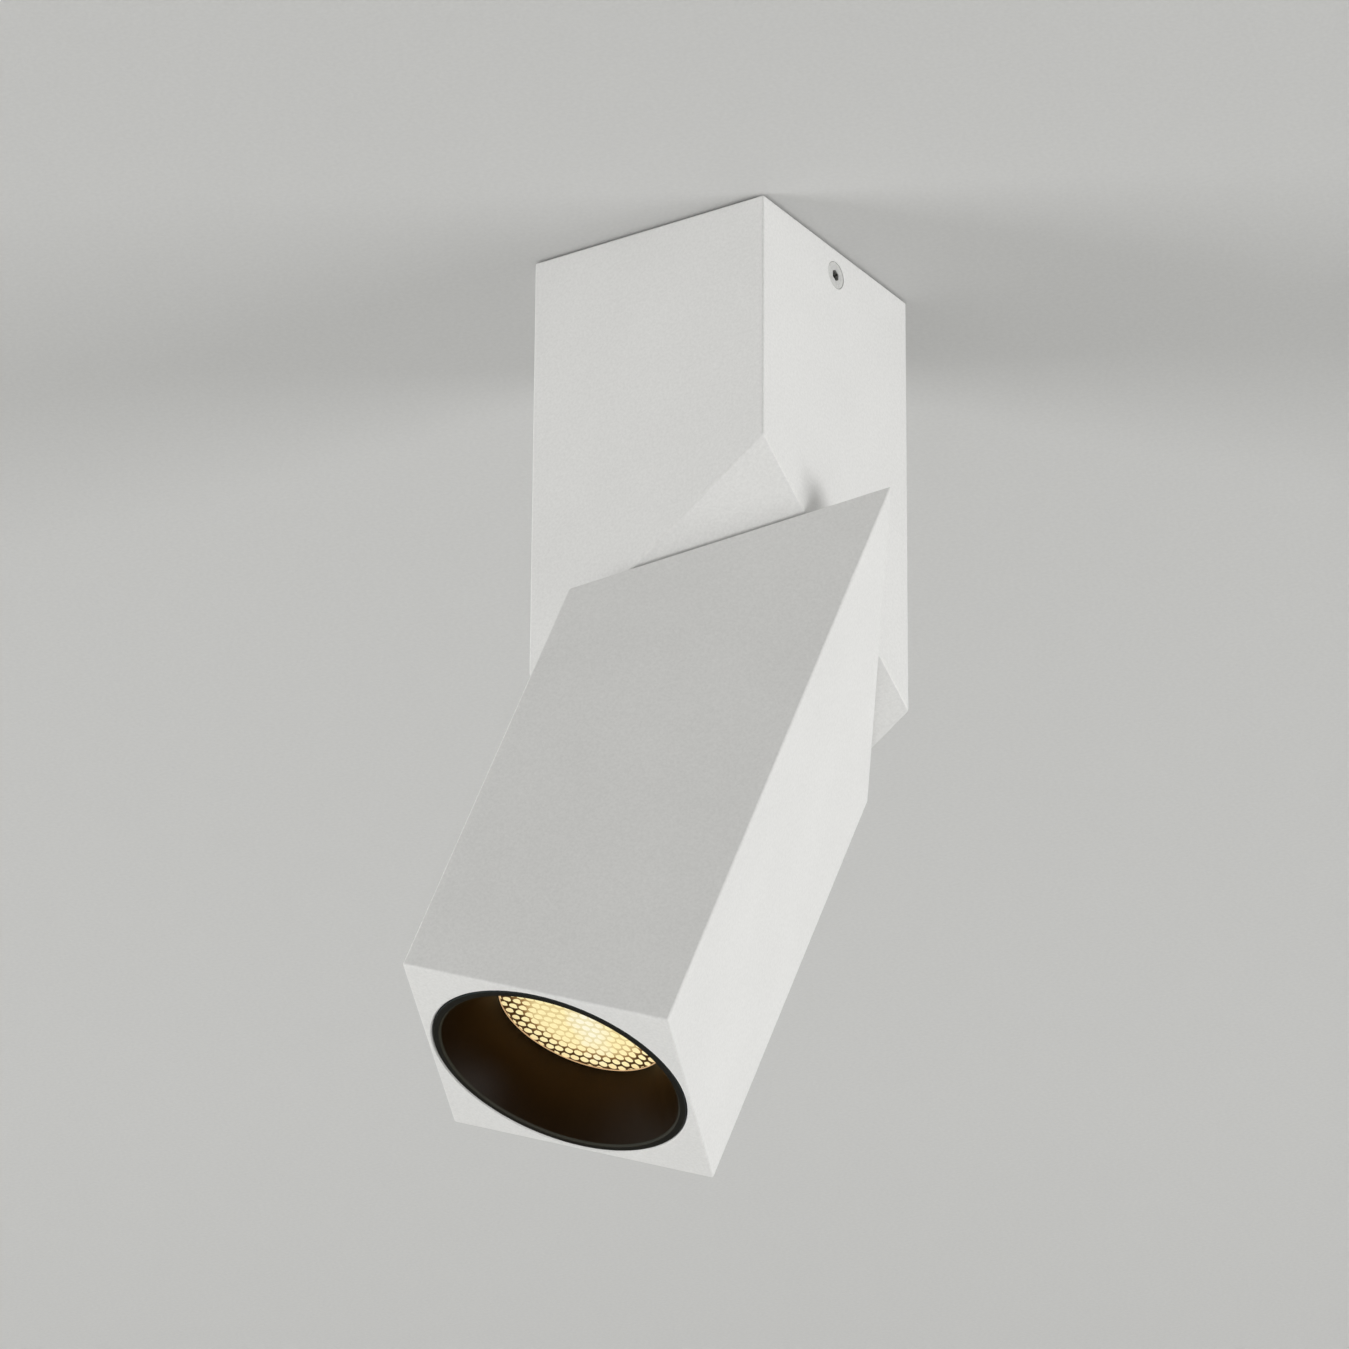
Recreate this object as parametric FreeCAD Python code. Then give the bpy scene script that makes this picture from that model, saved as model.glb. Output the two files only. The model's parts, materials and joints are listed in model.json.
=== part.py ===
import FreeCAD, Part
import os
from math import cos, pi, radians, sin, tan

V = FreeCAD.Vector

# An adjustable square ceiling spotlight. A square bar hangs from the ceiling and is
# sawn in two on a slope across its diagonal. The lower half turns on a hollow pivot
# that stands square to the cut, so the beam swings from straight down to sideways.
#
# Lengths are in millimetres and angles in degrees. Z points up, the ceiling is at
# height 0 and the bar is centred on the Z axis.

# DRIVING DIMENSIONS

# The bar, its cut and how it is aimed
side = 75.0
upper_length = 127.0
head_length = 127.0
cut_tilt = 45.0
cut_bearing = 45.0
rest_turn = 30.0
swing = 170.0
cut_gap = 0.8
shadow_gap = 0.5
edge_radius = 0.7
cut_bevel = 0.3

# Upper housing
wall = 2.5
inner_corner = 4.0
upper_plate = 4.0
boss_height = 2.0
boss_radius = 15.0

# Side screws that hold the upper housing on its bracket
side_screw_drop = 8.6
side_screw_radius = 2.0
side_screw_head_radius = 3.85
side_screw_rim = 0.3
side_screw_length = 10.0
side_screw_sink = 0.1
side_screw_socket = 3.0
side_screw_socket_depth = 1.8
countersink_gap = 0.2

# Folded steel bracket
sheet = 1.5
bend_radius = 1.0
ear_clearance = 0.3
ear_width = 30.0
ear_height = 16.0
ear_corner = 4.0
ear_collar_radius = 3.4
ear_collar_depth = 1.5
plate_inset = 3.5
plate_corner = 5.0
ceiling_slot_spacing = 50.0
ceiling_slot_width = 4.5
ceiling_slot_length = 10.0

# Angle bracket that carries the driver, riveted under the ceiling bracket
tongue_clearance = 0.5
tongue_margin = 2.0
foot_length = 18.0
rivet_radius = 1.6
rivet_spacing = 24.0
rivet_sunk_radius = 2.6
rivet_head_radius = 3.0
rivet_head = 1.2
rivet_rounding = 0.8

# Bush for the supply cable in the middle of the bracket
bush_radius = 7.0
bush_bore_radius = 4.5
bush_flange_radius = 9.0
bush_flange = 2.0
bush_drop = 1.5
bush_rounding = 0.4

# Terminal block under the bracket
pole_count = 3
pole_pitch = 8.0
pole_width = 7.0
block_setback = 11.0
block_depth = 16.0
block_base = 4.0
block_height = 14.0
block_end = 2.0
block_rounding = 0.8
block_peg_radius = 1.5
pole_hole_radius = 1.6
pole_hole_drop = 8.5
clamp_screw_radius = 1.6
clamp_screw_inset = 4.0
clamp_screw_proud = 0.4
clamp_screw_slot = 0.5
clamp_screw_slot_depth = 0.7

# Earth screw on the bracket
earth_screw_x = 22.0
earth_screw_y = -20.0
earth_screw_radius = 2.0
earth_screw_head_radius = 4.0
earth_screw_head = 2.4
earth_washer_radius = 5.0
earth_washer = 1.0

# Driver, which hangs on the angle bracket's tongue
driver_drop = 22.0
driver_width = 40.0
driver_length = 50.0
driver_depth = 22.0
driver_side_gap = 6.5
driver_wall = 1.5
driver_rounding = 2.0
driver_cover_recess = 0.2
driver_ear = 6.0
driver_ear_width = 12.0
driver_ear_thickness = 2.0
driver_rib = 2.5
board_sheet = 1.6
board_gap = 0.4
transformer_width = 17.0
transformer_length = 14.0
transformer_height = 12.0
transformer_core = 7.0
bobbin_inset = 1.5
capacitor_radii = (5.0, 4.0)
capacitor_heights = (12.0, 9.5)
component_gap = 1.0
component_rounding = 0.6
choke_radius = 5.0
choke_hole_radius = 2.2
choke_height = 5.5

# Small pan head screws of the driver, the lamp holder and the heat sink
small_screw_radius = 1.5
small_screw_head_radius = 2.75
small_screw_head = 1.9
small_screw_rounding = 0.7
holder_screw_length = 7.0
sink_screw_length = 9.5
tapped_spare = 1.0

# Wires and leads
wire_radius = 1.2
lead_radius = 2.1
lead_bend_share = 0.45
gland_radius = 4.2
gland_tip_radius = 3.2
gland_length = 5.0
gland_inset = 6.5
lead_exit_run = 6.0

# Hollow pivot, square to the cut
pivot_radius = 6.0
pivot_bore_radius = 3.5
pivot_bore_rounding = 0.8
pivot_flange_radius = 12.0
pivot_flange = 1.5
pivot_head_height = 6.5
pivot_head_across = 17.0
pivot_flat_depth = 0.8
pivot_tail = 1.4
thrust_washer_radius = 13.0
thrust_washer = 1.5
spring_radius = 11.5
spring_sheet = 0.9
spring_cone = 0.7
slip_washer_margin = 1.2
plain_washer_radius = 12.0
plain_washer = 1.5
nut_across = 19.0
nut_height = 5.5

# Stop pin in the upper plate and its curved track in the lower plate
stop_radius = 22.0
stop_bearing = 90.0
stop_pin_radius = 1.5
stop_pin_depth = 2.0
stop_track_clearance = 0.3

# Lamp housing
lower_plate = 5.0
lamp_wall = 1.6
shoulder_width = 5.4
shoulder_depth = 49.0
mouth_rounding = 0.4

# Baffle, the black funnel in the end face
baffle_gap = 0.3
baffle_rim_width = 2.3
baffle_throat_radius = 23.6
baffle_depth = 17.6
baffle_wall = 1.4
baffle_chamfer = 0.6
baffle_rounding = 0.3
baffle_skirt = 13.0
baffle_collar = 5.3
snap_count = 4
snap_bearing = 45.0
snap_width = 8.0
snap_height = 2.0
snap_reach = 0.5
snap_setback = 3.0
snap_clearance = 0.3

# Optics
lens_lip = 1.8
lens_thickness = 2.5
lens_chamfer = 0.3
gasket = 0.5
reflector_rim = 1.2
reflector_rim_width = 1.3
reflector_wall = 1.0
reflector_throat_radius = 9.0
reflector_bulge_share = 0.62

# Light source
flange_thickness = 5.0
holder_radius = 20.0
holder_thickness = 5.0
holder_opening_radius = 8.4
holder_lug_reach = 28.5
holder_lug_width = 9.0
holder_screw_reach = 15.5
holder_rounding = 0.6
light_board_side = 19.0
light_board_thickness = 1.2
light_board_gap = 0.2
pad_thickness = 0.3
emitter_radius = 7.3
emitter_thickness = 0.6

# Heat sink
sink_core_radius = 9.0
fin_count = 24
fin_thickness = 1.4
fin_gap = 0.7
fin_headroom = 5.0
sink_screw_count = 4
sink_screw_bearing = 45.0
sink_screw_inset = 3.2
lead_hole_radius = 3.2
lead_turn_reach = 34.0
grommet_proud = 0.8

# Fits
running_clearance = 0.05
thread_clearance = 0.05
press_clearance = 0.01
join_tolerance = 0.001
overrun = 2.0

# PLACES WORKED OUT FROM THE DRIVING DIMENSIONS

cavity_half = side / 2 - wall
ear_face = cavity_half - ear_clearance
tongue_face = cavity_half - tongue_clearance
plate_half = ear_face - plate_inset
reach = upper_length + head_length + side
front_level = -(upper_length + head_length)

block_back = -block_setback
block_front = block_back - block_depth
block_middle = (block_front + block_back) / 2
block_foot = -sheet - block_height
pole_level = -sheet - pole_hole_drop

driver_back = tongue_face - sheet
driver_front = driver_back - driver_depth
driver_left = -cavity_half + driver_side_gap
driver_right = driver_left + driver_width
driver_centre = (driver_left + driver_right) / 2
driver_middle = (driver_back + driver_front) / 2
driver_top = -driver_drop
driver_bottom = driver_top - driver_length
driver_ear_levels = (driver_top + driver_ear / 2, driver_bottom - driver_ear / 2)
tongue_end = driver_bottom - driver_ear - tongue_margin
rivet_y = tongue_face - foot_length / 2
rivet_places = (driver_centre - rivet_spacing / 2, driver_centre + rivet_spacing / 2)
gland_x = driver_left + gland_inset
gland_tip = driver_bottom - gland_length

upper_plate_top = cut_gap / 2 + upper_plate
thrust_level = upper_plate_top + boss_height
spring_level = thrust_level + thrust_washer + running_clearance
spring_height = spring_sheet + spring_cone
pivot_head_level = spring_level + 2 * spring_height
pivot_head_top = pivot_head_level + pivot_head_height
lower_plate_base = -cut_gap / 2 - lower_plate
plain_washer_level = lower_plate_base - boss_height
nut_level = plain_washer_level - plain_washer
pivot_end = nut_level - nut_height - pivot_tail
stop_pin_end = -cut_gap / 2 - stop_pin_depth
stop_track_half = stop_pin_radius + stop_track_clearance
slip_washer_radius = stop_radius - stop_track_half - slip_washer_margin

lamp_bore_radius = side / 2 - lamp_wall
sink_bore_radius = lamp_bore_radius - shoulder_width
baffle_radius = lamp_bore_radius - baffle_gap
baffle_mouth_radius = baffle_radius - baffle_rim_width
sink_face = shoulder_depth - flange_thickness
fin_radius = sink_bore_radius - fin_gap
bore_end = head_length + lower_plate_base / cos(radians(cut_tilt))
fin_top = bore_end - fin_radius * tan(radians(cut_tilt)) - fin_headroom
light_board_level = sink_face - pad_thickness - light_board_thickness
holder_level = sink_face - holder_thickness
lens_radius = baffle_throat_radius + lens_lip
gasket_level = baffle_depth + lens_thickness
rim_level = gasket_level + gasket
reflector_mouth_radius = lens_radius - reflector_rim_width
sink_screw_reach = lamp_bore_radius - sink_screw_inset

# The pivot stands on the cut. A piece built along Z is laid along the pivot by on_pivot,
# and by on_head_pivot in the lamp head, which is built hanging straight with its end
# face at height 0. aimed() then puts it below the cut and turns it to where it rests.
tilt = FreeCAD.Rotation(V(0, 0, 1), cut_bearing).multiply(FreeCAD.Rotation(V(1, 0, 0), -cut_tilt))
pivot_axis = tilt.multVec(V(0, 0, 1))
pivot_point = V(0, 0, -upper_length)
head_pivot_point = V(0, 0, head_length)
on_pivot = FreeCAD.Placement(pivot_point, tilt)
on_head_pivot = FreeCAD.Placement(head_pivot_point, tilt)
below_cut = FreeCAD.Placement(V(0, 0, front_level), FreeCAD.Rotation())
to_rest = FreeCAD.Placement(V(0, 0, 0), FreeCAD.Rotation(pivot_axis, rest_turn), pivot_point)

# The lead follows the pivot axis out of the hollow bolt, then turns to the driver's gland
# above or to the lamp holder below
upper_lead_exit = pivot_point + pivot_axis * (pivot_head_top + lead_exit_run)
upper_lead_turn = V(gland_x, driver_middle, (upper_lead_exit.z + gland_tip) / 2)
lower_lead_turn = head_pivot_point - pivot_axis * lead_turn_reach


# HELPERS

def placed(shape, placement):
    """A copy of the shape, moved and turned."""
    moved = shape.copy()
    moved.Placement = placement.multiply(moved.Placement)
    return moved


def aimed(shape):
    """A piece of the lamp head, carried from the straight head to where it rests."""
    return placed(shape, to_rest.multiply(below_cut))


def at(x, y, z):
    """A plain shift."""
    return FreeCAD.Placement(V(x, y, z), FreeCAD.Rotation())


def facing(x, y, z, direction):
    """A shift that also turns Z to the given direction."""
    return FreeCAD.Placement(V(x, y, z), FreeCAD.Rotation(V(0, 0, 1), direction))


def turned_about_z(shape, bearing):
    """The shape turned about the Z axis."""
    return placed(shape, FreeCAD.Placement(V(0, 0, 0), FreeCAD.Rotation(V(0, 0, 1), bearing)))


def ring_of(shape, count, first_bearing):
    """Copies of the shape, evenly spaced about the Z axis."""
    return [turned_about_z(shape, first_bearing + 360 * index / count) for index in range(count)]


def outline(corners, lay):
    """A closed wire through corners given as (across, up, rounding), laid out by lay(across, up)."""
    arcs = []
    for index, (across, up, rounding) in enumerate(corners):
        corner = lay(across, up)
        if rounding == 0:
            arcs.append((corner, None, corner))
            continue
        before = corners[index - 1]
        after = corners[(index + 1) % len(corners)]
        back = (lay(before[0], before[1]) - corner).normalize()
        ahead = (lay(after[0], after[1]) - corner).normalize()
        half = back.getAngle(ahead) / 2
        setback = rounding / tan(half)
        middle = corner + (back + ahead).normalize() * (rounding / sin(half) - rounding)
        arcs.append((corner + back * setback, middle, corner + ahead * setback))
    edges = []
    for index, (start, middle, end) in enumerate(arcs):
        if middle is not None:
            edges.append(Part.Arc(start, middle, end).toShape())
        following = arcs[(index + 1) % len(arcs)][0]
        if not end.isEqual(following, join_tolerance):
            edges.append(Part.makeLine(end, following))
    return Part.Wire(edges)


def turned(corners):
    """A solid of revolution about Z, from corners given as (radius, height, rounding)."""
    face = Part.Face(outline(corners, lambda radius, height: V(radius, 0, height)))
    return face.revolve(V(0, 0, 0), V(0, 0, 1), 360)


def slab(corners, low, high):
    """A flat plate from corners given as (x, y, rounding)."""
    face = Part.Face(outline(corners, lambda x, y: V(x, y, low)))
    return face.extrude(V(0, 0, high - low))


def rounded_slab(half_x, half_y, rounding, low, high):
    """A rectangular plate about the Z axis, with rounded corners."""
    corners = [(-half_x, -half_y), (half_x, -half_y), (half_x, half_y), (-half_x, half_y)]
    return slab([(x, y, rounding) for x, y in corners], low, high)


def block(left, right, front, back, low, high):
    """A box between six levels."""
    return Part.makeBox(right - left, back - front, high - low, V(left, front, low))


def rod(radius, low, high, x=0, y=0):
    """A cylinder along Z."""
    return Part.makeCylinder(radius, high - low, V(x, y, low))


def tube(outer, inner, low, high):
    """A plain ring about Z."""
    return rod(outer, low, high).cut(rod(inner, low - overrun, high + overrun))


def hexagon(across_flats, low, high):
    """A six-sided prism about Z."""
    corner_radius = across_flats / 2 / cos(pi / 6)
    corners = [V(corner_radius * cos(pi * k / 3), corner_radius * sin(pi * k / 3), low) for k in range(7)]
    return Part.Face(Part.makePolygon(corners)).extrude(V(0, 0, high - low))


def pan_screw(radius, length, head_radius, head_height, rounding):
    """A pan head screw along Z. The head sits on height 0 and the shank hangs below."""
    return turned([
        (0, -length, 0),
        (radius, -length, 0),
        (radius, 0, 0),
        (head_radius, 0, 0),
        (head_radius, head_height, rounding),
        (0, head_height, 0),
    ])


def small_screw(length):
    """The pan head screw that the driver, lamp holder and heat sink share."""
    return pan_screw(
        small_screw_radius,
        length,
        small_screw_head_radius,
        small_screw_head,
        small_screw_rounding,
    )


def lead(name, points, radius):
    """A round lead: straight runs joined by tangent arcs as wide as the runs allow."""
    path = []
    start = points[0]
    for before, corner, after in zip(points, points[1:], points[2:]):
        setback = lead_bend_share * min((corner - before).Length, (after - corner).Length)
        back = (before - corner).normalize()
        ahead = (after - corner).normalize()
        half = back.getAngle(ahead) / 2
        bend = setback * tan(half)
        middle = corner + (back + ahead).normalize() * (bend / sin(half) - bend)
        path.append(Part.makeLine(start, corner + back * setback))
        path.append(Part.Arc(corner + back * setback, middle, corner + ahead * setback).toShape())
        start = corner + ahead * setback
        print(name, "bend radius", round(bend, 2))
    path.append(Part.makeLine(start, points[-1]))
    route = Part.Wire(path)
    section = Part.Wire(Part.makeCircle(radius, points[0], points[1] - points[0]))
    solid = route.makePipeShell([section], True, False)
    expected = pi * radius ** 2 * route.Length
    print(name, "volume over section times length", round(solid.Volume / expected, 4))
    return solid


def above_plane(placement, level):
    """All the space above a plane that lies across the pivot at this level."""
    return placed(block(-reach, reach, -reach, reach, level, level + 2 * reach), placement)


def below_plane(placement, level):
    """All the space below a plane that lies across the pivot at this level."""
    return placed(block(-reach, reach, -reach, reach, level - 2 * reach, level), placement)


def cut_bar(bar, kept, placement, level):
    """The bar with rounded edges, cut along a plane across the pivot, with a fine bevel there."""
    bar = bar.makeFillet(edge_radius, bar.Edges).common(kept)
    to_pivot = placement.inverse()

    def on_cut(edge):
        heights = [to_pivot.multVec(corner.Point).z for corner in edge.Vertexes]
        return all(abs(height - level) < join_tolerance for height in heights)

    return bar.makeChamfer(cut_bevel, [edge for edge in bar.Edges if on_cut(edge)])


# BRACKETS

def ceiling_bracket():
    """A plate against the ceiling with two ears folded down, each with a tapped collar."""
    outer_bend = bend_radius + sheet
    plate = rounded_slab(plate_half, plate_half, plate_corner, -sheet, 0)
    ear_profile = outline([
        (-ear_face, -ear_height, 0),
        (-ear_face, 0, outer_bend),
        (ear_face, 0, outer_bend),
        (ear_face, -ear_height, 0),
        (ear_face - sheet, -ear_height, 0),
        (ear_face - sheet, -sheet, bend_radius),
        (-ear_face + sheet, -sheet, bend_radius),
        (-ear_face + sheet, -ear_height, 0),
    ], lambda x, z: V(x, -ear_width / 2, z))
    ears = Part.Face(ear_profile).extrude(V(0, ear_width, 0))
    ear_tips = [edge for edge in ears.Edges if abs(edge.BoundBox.ZMax + ear_height) < press_clearance
                and edge.BoundBox.YLength < press_clearance]
    ears = ears.makeFillet(ear_corner, ear_tips)
    bracket = plate.fuse(ears)
    collar = tube(ear_collar_radius, side_screw_radius, 0, ear_collar_depth)
    for way in (-1, 1):
        inner_face = way * (ear_face - sheet)
        bracket = bracket.fuse(placed(collar, facing(inner_face, 0, -side_screw_drop, V(-way, 0, 0))))
    return bracket.removeSplitter().cut(bracket_holes())


def bracket_holes():
    """Every hole of the ceiling bracket."""
    slot = slab([
        (-ceiling_slot_length / 2, -ceiling_slot_width / 2, ceiling_slot_width / 2),
        (ceiling_slot_length / 2, -ceiling_slot_width / 2, ceiling_slot_width / 2),
        (ceiling_slot_length / 2, ceiling_slot_width / 2, ceiling_slot_width / 2),
        (-ceiling_slot_length / 2, ceiling_slot_width / 2, ceiling_slot_width / 2),
    ], -sheet - overrun, overrun)
    side_hole = rod(side_screw_radius + thread_clearance, -ear_face - overrun, ear_face + overrun)
    holes = [rod(bush_radius, -sheet - overrun, overrun)]
    holes.append(placed(side_hole, facing(0, 0, -side_screw_drop, V(1, 0, 0))))
    for way in (-1, 1):
        holes.append(placed(slot, at(way * ceiling_slot_spacing / 2, 0, 0)))
        holes.append(rod(block_peg_radius, -sheet - overrun, overrun, way * pole_pitch, block_middle))
    earth_hole_radius = earth_screw_radius + thread_clearance
    holes.append(rod(earth_hole_radius, -sheet - overrun, overrun, earth_screw_x, earth_screw_y))
    return holes + rivet_holes()


def rivet_holes():
    """The holes of both rivets, sunk on the ceiling side."""
    radius = rivet_radius + press_clearance
    sunk_radius = rivet_sunk_radius + press_clearance
    hole = turned([
        (0, overrun, 0),
        (sunk_radius, overrun, 0),
        (sunk_radius, 0, 0),
        (radius, radius - sunk_radius, 0),
        (radius, -2 * sheet - overrun, 0),
        (0, -2 * sheet - overrun, 0),
    ])
    return [placed(hole, at(x, rivet_y, 0)) for x in rivet_places]


def bracket_rivets():
    """The two rivets through both brackets, flush with the ceiling and round-headed below."""
    rivet = turned([
        (0, 0, 0),
        (rivet_sunk_radius, 0, 0),
        (rivet_radius, rivet_radius - rivet_sunk_radius, 0),
        (rivet_radius, -2 * sheet, 0),
        (rivet_head_radius, -2 * sheet, 0),
        (rivet_head_radius, -2 * sheet - rivet_head, rivet_rounding),
        (0, -2 * sheet - rivet_head, 0),
    ])
    return Part.makeCompound([placed(rivet, at(x, rivet_y, 0)) for x in rivet_places])


def driver_bracket():
    """An angle bracket: a foot under the ceiling bracket and a tongue down behind the driver."""
    foot_end = tongue_face - foot_length
    profile = outline([
        (foot_end, -sheet, 0),
        (tongue_face, -sheet, bend_radius + sheet),
        (tongue_face, tongue_end, 0),
        (driver_back, tongue_end, 0),
        (driver_back, -2 * sheet, bend_radius),
        (foot_end, -2 * sheet, 0),
    ], lambda y, z: V(driver_left + tongue_margin, y, z))
    bracket = Part.Face(profile).extrude(V(driver_width - 2 * tongue_margin, 0, 0))
    screw_hole = rod(small_screw_radius + thread_clearance, -sheet - overrun, overrun)
    holes = rivet_holes()
    for level in driver_ear_levels:
        holes.append(placed(screw_hole, facing(driver_centre, driver_back, level, V(0, -1, 0))))
    return bracket.cut(holes)


def cable_bush():
    """The rubber bush that the supply cable comes in through."""
    return turned([
        (bush_bore_radius, 0, bush_rounding),
        (bush_radius, 0, 0),
        (bush_radius, -sheet, 0),
        (bush_flange_radius, -sheet, 0),
        (bush_flange_radius, -sheet - bush_flange, bush_rounding),
        (bush_radius, -sheet - bush_flange, 0),
        (bush_radius, -sheet - bush_flange - bush_drop, bush_rounding),
        (bush_bore_radius, -sheet - bush_flange - bush_drop, bush_rounding),
    ])


# TERMINALS

def pole_places():
    """The x of each pole of the terminal block."""
    return [pole_pitch * (index - (pole_count - 1) / 2) for index in range(pole_count)]


def clamp_places():
    """Where the clamp screws stand, front and back in each pole."""
    rows = (block_front + clamp_screw_inset, block_back - clamp_screw_inset)
    return [(x, y) for x in pole_places() for y in rows]


def terminal_block():
    """A strip of moulded terminals, held by two pegs in the bracket."""
    half_length = pole_pitch * pole_count / 2 + block_end
    base_foot = -sheet - block_base
    body = placed(
        rounded_slab(half_length, block_depth / 2, block_rounding, base_foot, -sheet),
        at(0, block_middle, 0),
    )
    for x in pole_places():
        pole = placed(
            rounded_slab(pole_width / 2, block_depth / 2, block_rounding, block_foot, base_foot),
            at(x, block_middle, 0),
        )
        body = body.fuse(pole)
    for way in (-1, 1):
        body = body.fuse(rod(block_peg_radius - press_clearance, -sheet, 0, way * pole_pitch, block_middle))
    for x in pole_places():
        hole = rod(pole_hole_radius, -overrun, block_depth + overrun)
        body = body.cut(placed(hole, facing(x, block_back, pole_level, V(0, -1, 0))))
    for x, y in clamp_places():
        body = body.cut(rod(clamp_screw_radius + thread_clearance, block_foot - overrun, pole_level, x, y))
    return body


def terminal_screws():
    """The slotted clamp screws of the terminal block."""
    screws = []
    for x, y in clamp_places():
        head_level = block_foot - clamp_screw_proud
        screw = rod(clamp_screw_radius, head_level, pole_level - wire_radius, x, y)
        slot = block(
            x - clamp_screw_radius,
            x + clamp_screw_radius,
            y - clamp_screw_slot / 2,
            y + clamp_screw_slot / 2,
            head_level,
            head_level + clamp_screw_slot_depth,
        )
        screws.append(screw.cut(slot))
    return Part.makeCompound(screws)


def earth_screw():
    """The earth screw and its washer under the bracket."""
    length = sheet + earth_washer
    screw = pan_screw(
        earth_screw_radius,
        length,
        earth_screw_head_radius,
        earth_screw_head,
        small_screw_rounding,
    )
    washer = tube(earth_washer_radius, earth_screw_radius + thread_clearance, -earth_washer, 0)
    hung = facing(earth_screw_x, earth_screw_y, -sheet - earth_washer, V(0, 0, -1))
    return Part.makeCompound([placed(screw, hung), placed(washer, hung)])


def supply_wires():
    """The two insulated wires from the outer terminals to the driver."""
    wires = []
    for x in (pole_places()[0], pole_places()[-1]):
        wires.append(lead("supply wire", [
            V(x, block_back - clamp_screw_inset, pole_level),
            V(x, driver_middle, pole_level),
            V(x, driver_middle, driver_top),
        ], wire_radius))
    return Part.makeCompound(wires)


# DRIVER

def driver_case():
    """The moulded case, open towards the middle of the housing, with an ear at each end."""
    half_width = driver_width / 2
    half_length = driver_length / 2
    case = rounded_slab(half_width, half_length, driver_rounding, 0, driver_depth)
    hollow = rounded_slab(
        half_width - driver_wall,
        half_length - driver_wall,
        driver_rounding - driver_wall,
        driver_wall,
        driver_depth + overrun,
    )
    case = case.cut(hollow)
    for way in (-1, 1):
        ear = slab([
            (-driver_ear_width / 2, 0, 0),
            (driver_ear_width / 2, 0, 0),
            (driver_ear_width / 2, half_length + driver_ear, driver_rounding),
            (-driver_ear_width / 2, half_length + driver_ear, driver_rounding),
        ], 0, driver_ear_thickness)
        ear = turned_about_z(ear.cut(hollow), 90 - 90 * way)
        rib_x = way * (half_width - 2 * driver_wall)
        rib = block(
            rib_x - driver_wall / 2,
            rib_x + driver_wall / 2,
            -half_length + driver_wall,
            half_length - driver_wall,
            driver_wall,
            driver_wall + driver_rib,
        )
        hole_y = way * (half_length + driver_ear / 2)
        hole = rod(small_screw_radius + thread_clearance, -overrun, driver_depth, 0, hole_y)
        case = case.fuse([ear, rib]).cut(hole)
    return in_driver(case.removeSplitter())


def in_driver(shape):
    """Stands a shape that lies on its back about the origin upright against the tongue."""
    middle_level = (driver_top + driver_bottom) / 2
    upright = FreeCAD.Rotation(V(1, 0, 0), V(0, 0, 1), V(0, -1, 0), "XZY")
    return placed(shape, FreeCAD.Placement(V(driver_centre, driver_back, middle_level), upright))


def driver_cover():
    """The cover that closes the driver, set a little way into its walls."""
    return in_driver(rounded_slab(
        driver_width / 2 - driver_wall - running_clearance,
        driver_length / 2 - driver_wall - running_clearance,
        driver_rounding - driver_wall,
        driver_depth - driver_wall - driver_cover_recess,
        driver_depth - driver_cover_recess,
    ))


def driver_board():
    """The circuit board on its two ribs."""
    return in_driver(block(
        -driver_width / 2 + driver_wall + board_gap,
        driver_width / 2 - driver_wall - board_gap,
        -driver_length / 2 + driver_wall + board_gap,
        driver_length / 2 - driver_wall - board_gap,
        driver_wall + driver_rib,
        driver_wall + driver_rib + board_sheet,
    ))


def on_board(shape, x, y):
    """Stands a driver component on the face of the board."""
    return in_driver(placed(shape, at(x, y, driver_wall + driver_rib + board_sheet)))


def driver_transformer():
    """The transformer: a bobbin with a ferrite core round its middle."""
    bobbin = rounded_slab(
        transformer_width / 2 - bobbin_inset,
        transformer_length / 2,
        component_rounding,
        0,
        transformer_height - bobbin_inset,
    )
    core_half = transformer_core / 2
    core = rounded_slab(transformer_width / 2, core_half, component_rounding, 0, transformer_height)
    return on_board(bobbin.fuse(core).removeSplitter(), 0, 0)


def driver_capacitors():
    """The two electrolytic capacitors, one at each end of the transformer."""
    cans = []
    for way, radius, height in zip((1, -1), capacitor_radii, capacitor_heights):
        can = turned([
            (0, 0, 0),
            (radius, 0, 0),
            (radius, height, component_rounding),
            (0, height, 0),
        ])
        x = way * (capacitor_radii[0] + component_gap)
        y = way * (transformer_length / 2 + component_gap + capacitor_radii[0])
        cans.append(on_board(can, x, y))
    return Part.makeCompound(cans)


def driver_choke():
    """The ring-shaped choke beside the smaller capacitor."""
    ring = turned([
        (choke_hole_radius, 0, component_rounding),
        (choke_radius, 0, component_rounding),
        (choke_radius, choke_height, component_rounding),
        (choke_hole_radius, choke_height, component_rounding),
    ])
    y = -(transformer_length / 2 + component_gap + choke_radius)
    return on_board(ring, choke_radius + component_gap, y)


def driver_screws():
    """The two screws that hold the driver's ears on the tongue."""
    ear_front = driver_back - driver_ear_thickness
    screw = small_screw(driver_ear_thickness + sheet)
    return Part.makeCompound(
        [placed(screw, facing(driver_centre, ear_front, level, V(0, -1, 0))) for level in driver_ear_levels]
    )


def driver_gland():
    """The tapered gland that the lead leaves the driver through."""
    gland = turned([
        (lead_radius + thread_clearance, 0, 0),
        (gland_radius, 0, 0),
        (gland_tip_radius, -gland_length, bush_rounding),
        (lead_radius + thread_clearance, -gland_length, 0),
    ])
    return placed(gland, at(gland_x, driver_middle, driver_bottom))


def upper_lead():
    """The lamp lead above the cut: down from the driver and into the hollow pivot."""
    end = V(gland_x, driver_middle, driver_bottom)
    return lead("upper lead", [pivot_point, upper_lead_exit, upper_lead_turn, end], lead_radius)


# UPPER HOUSING

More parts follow.
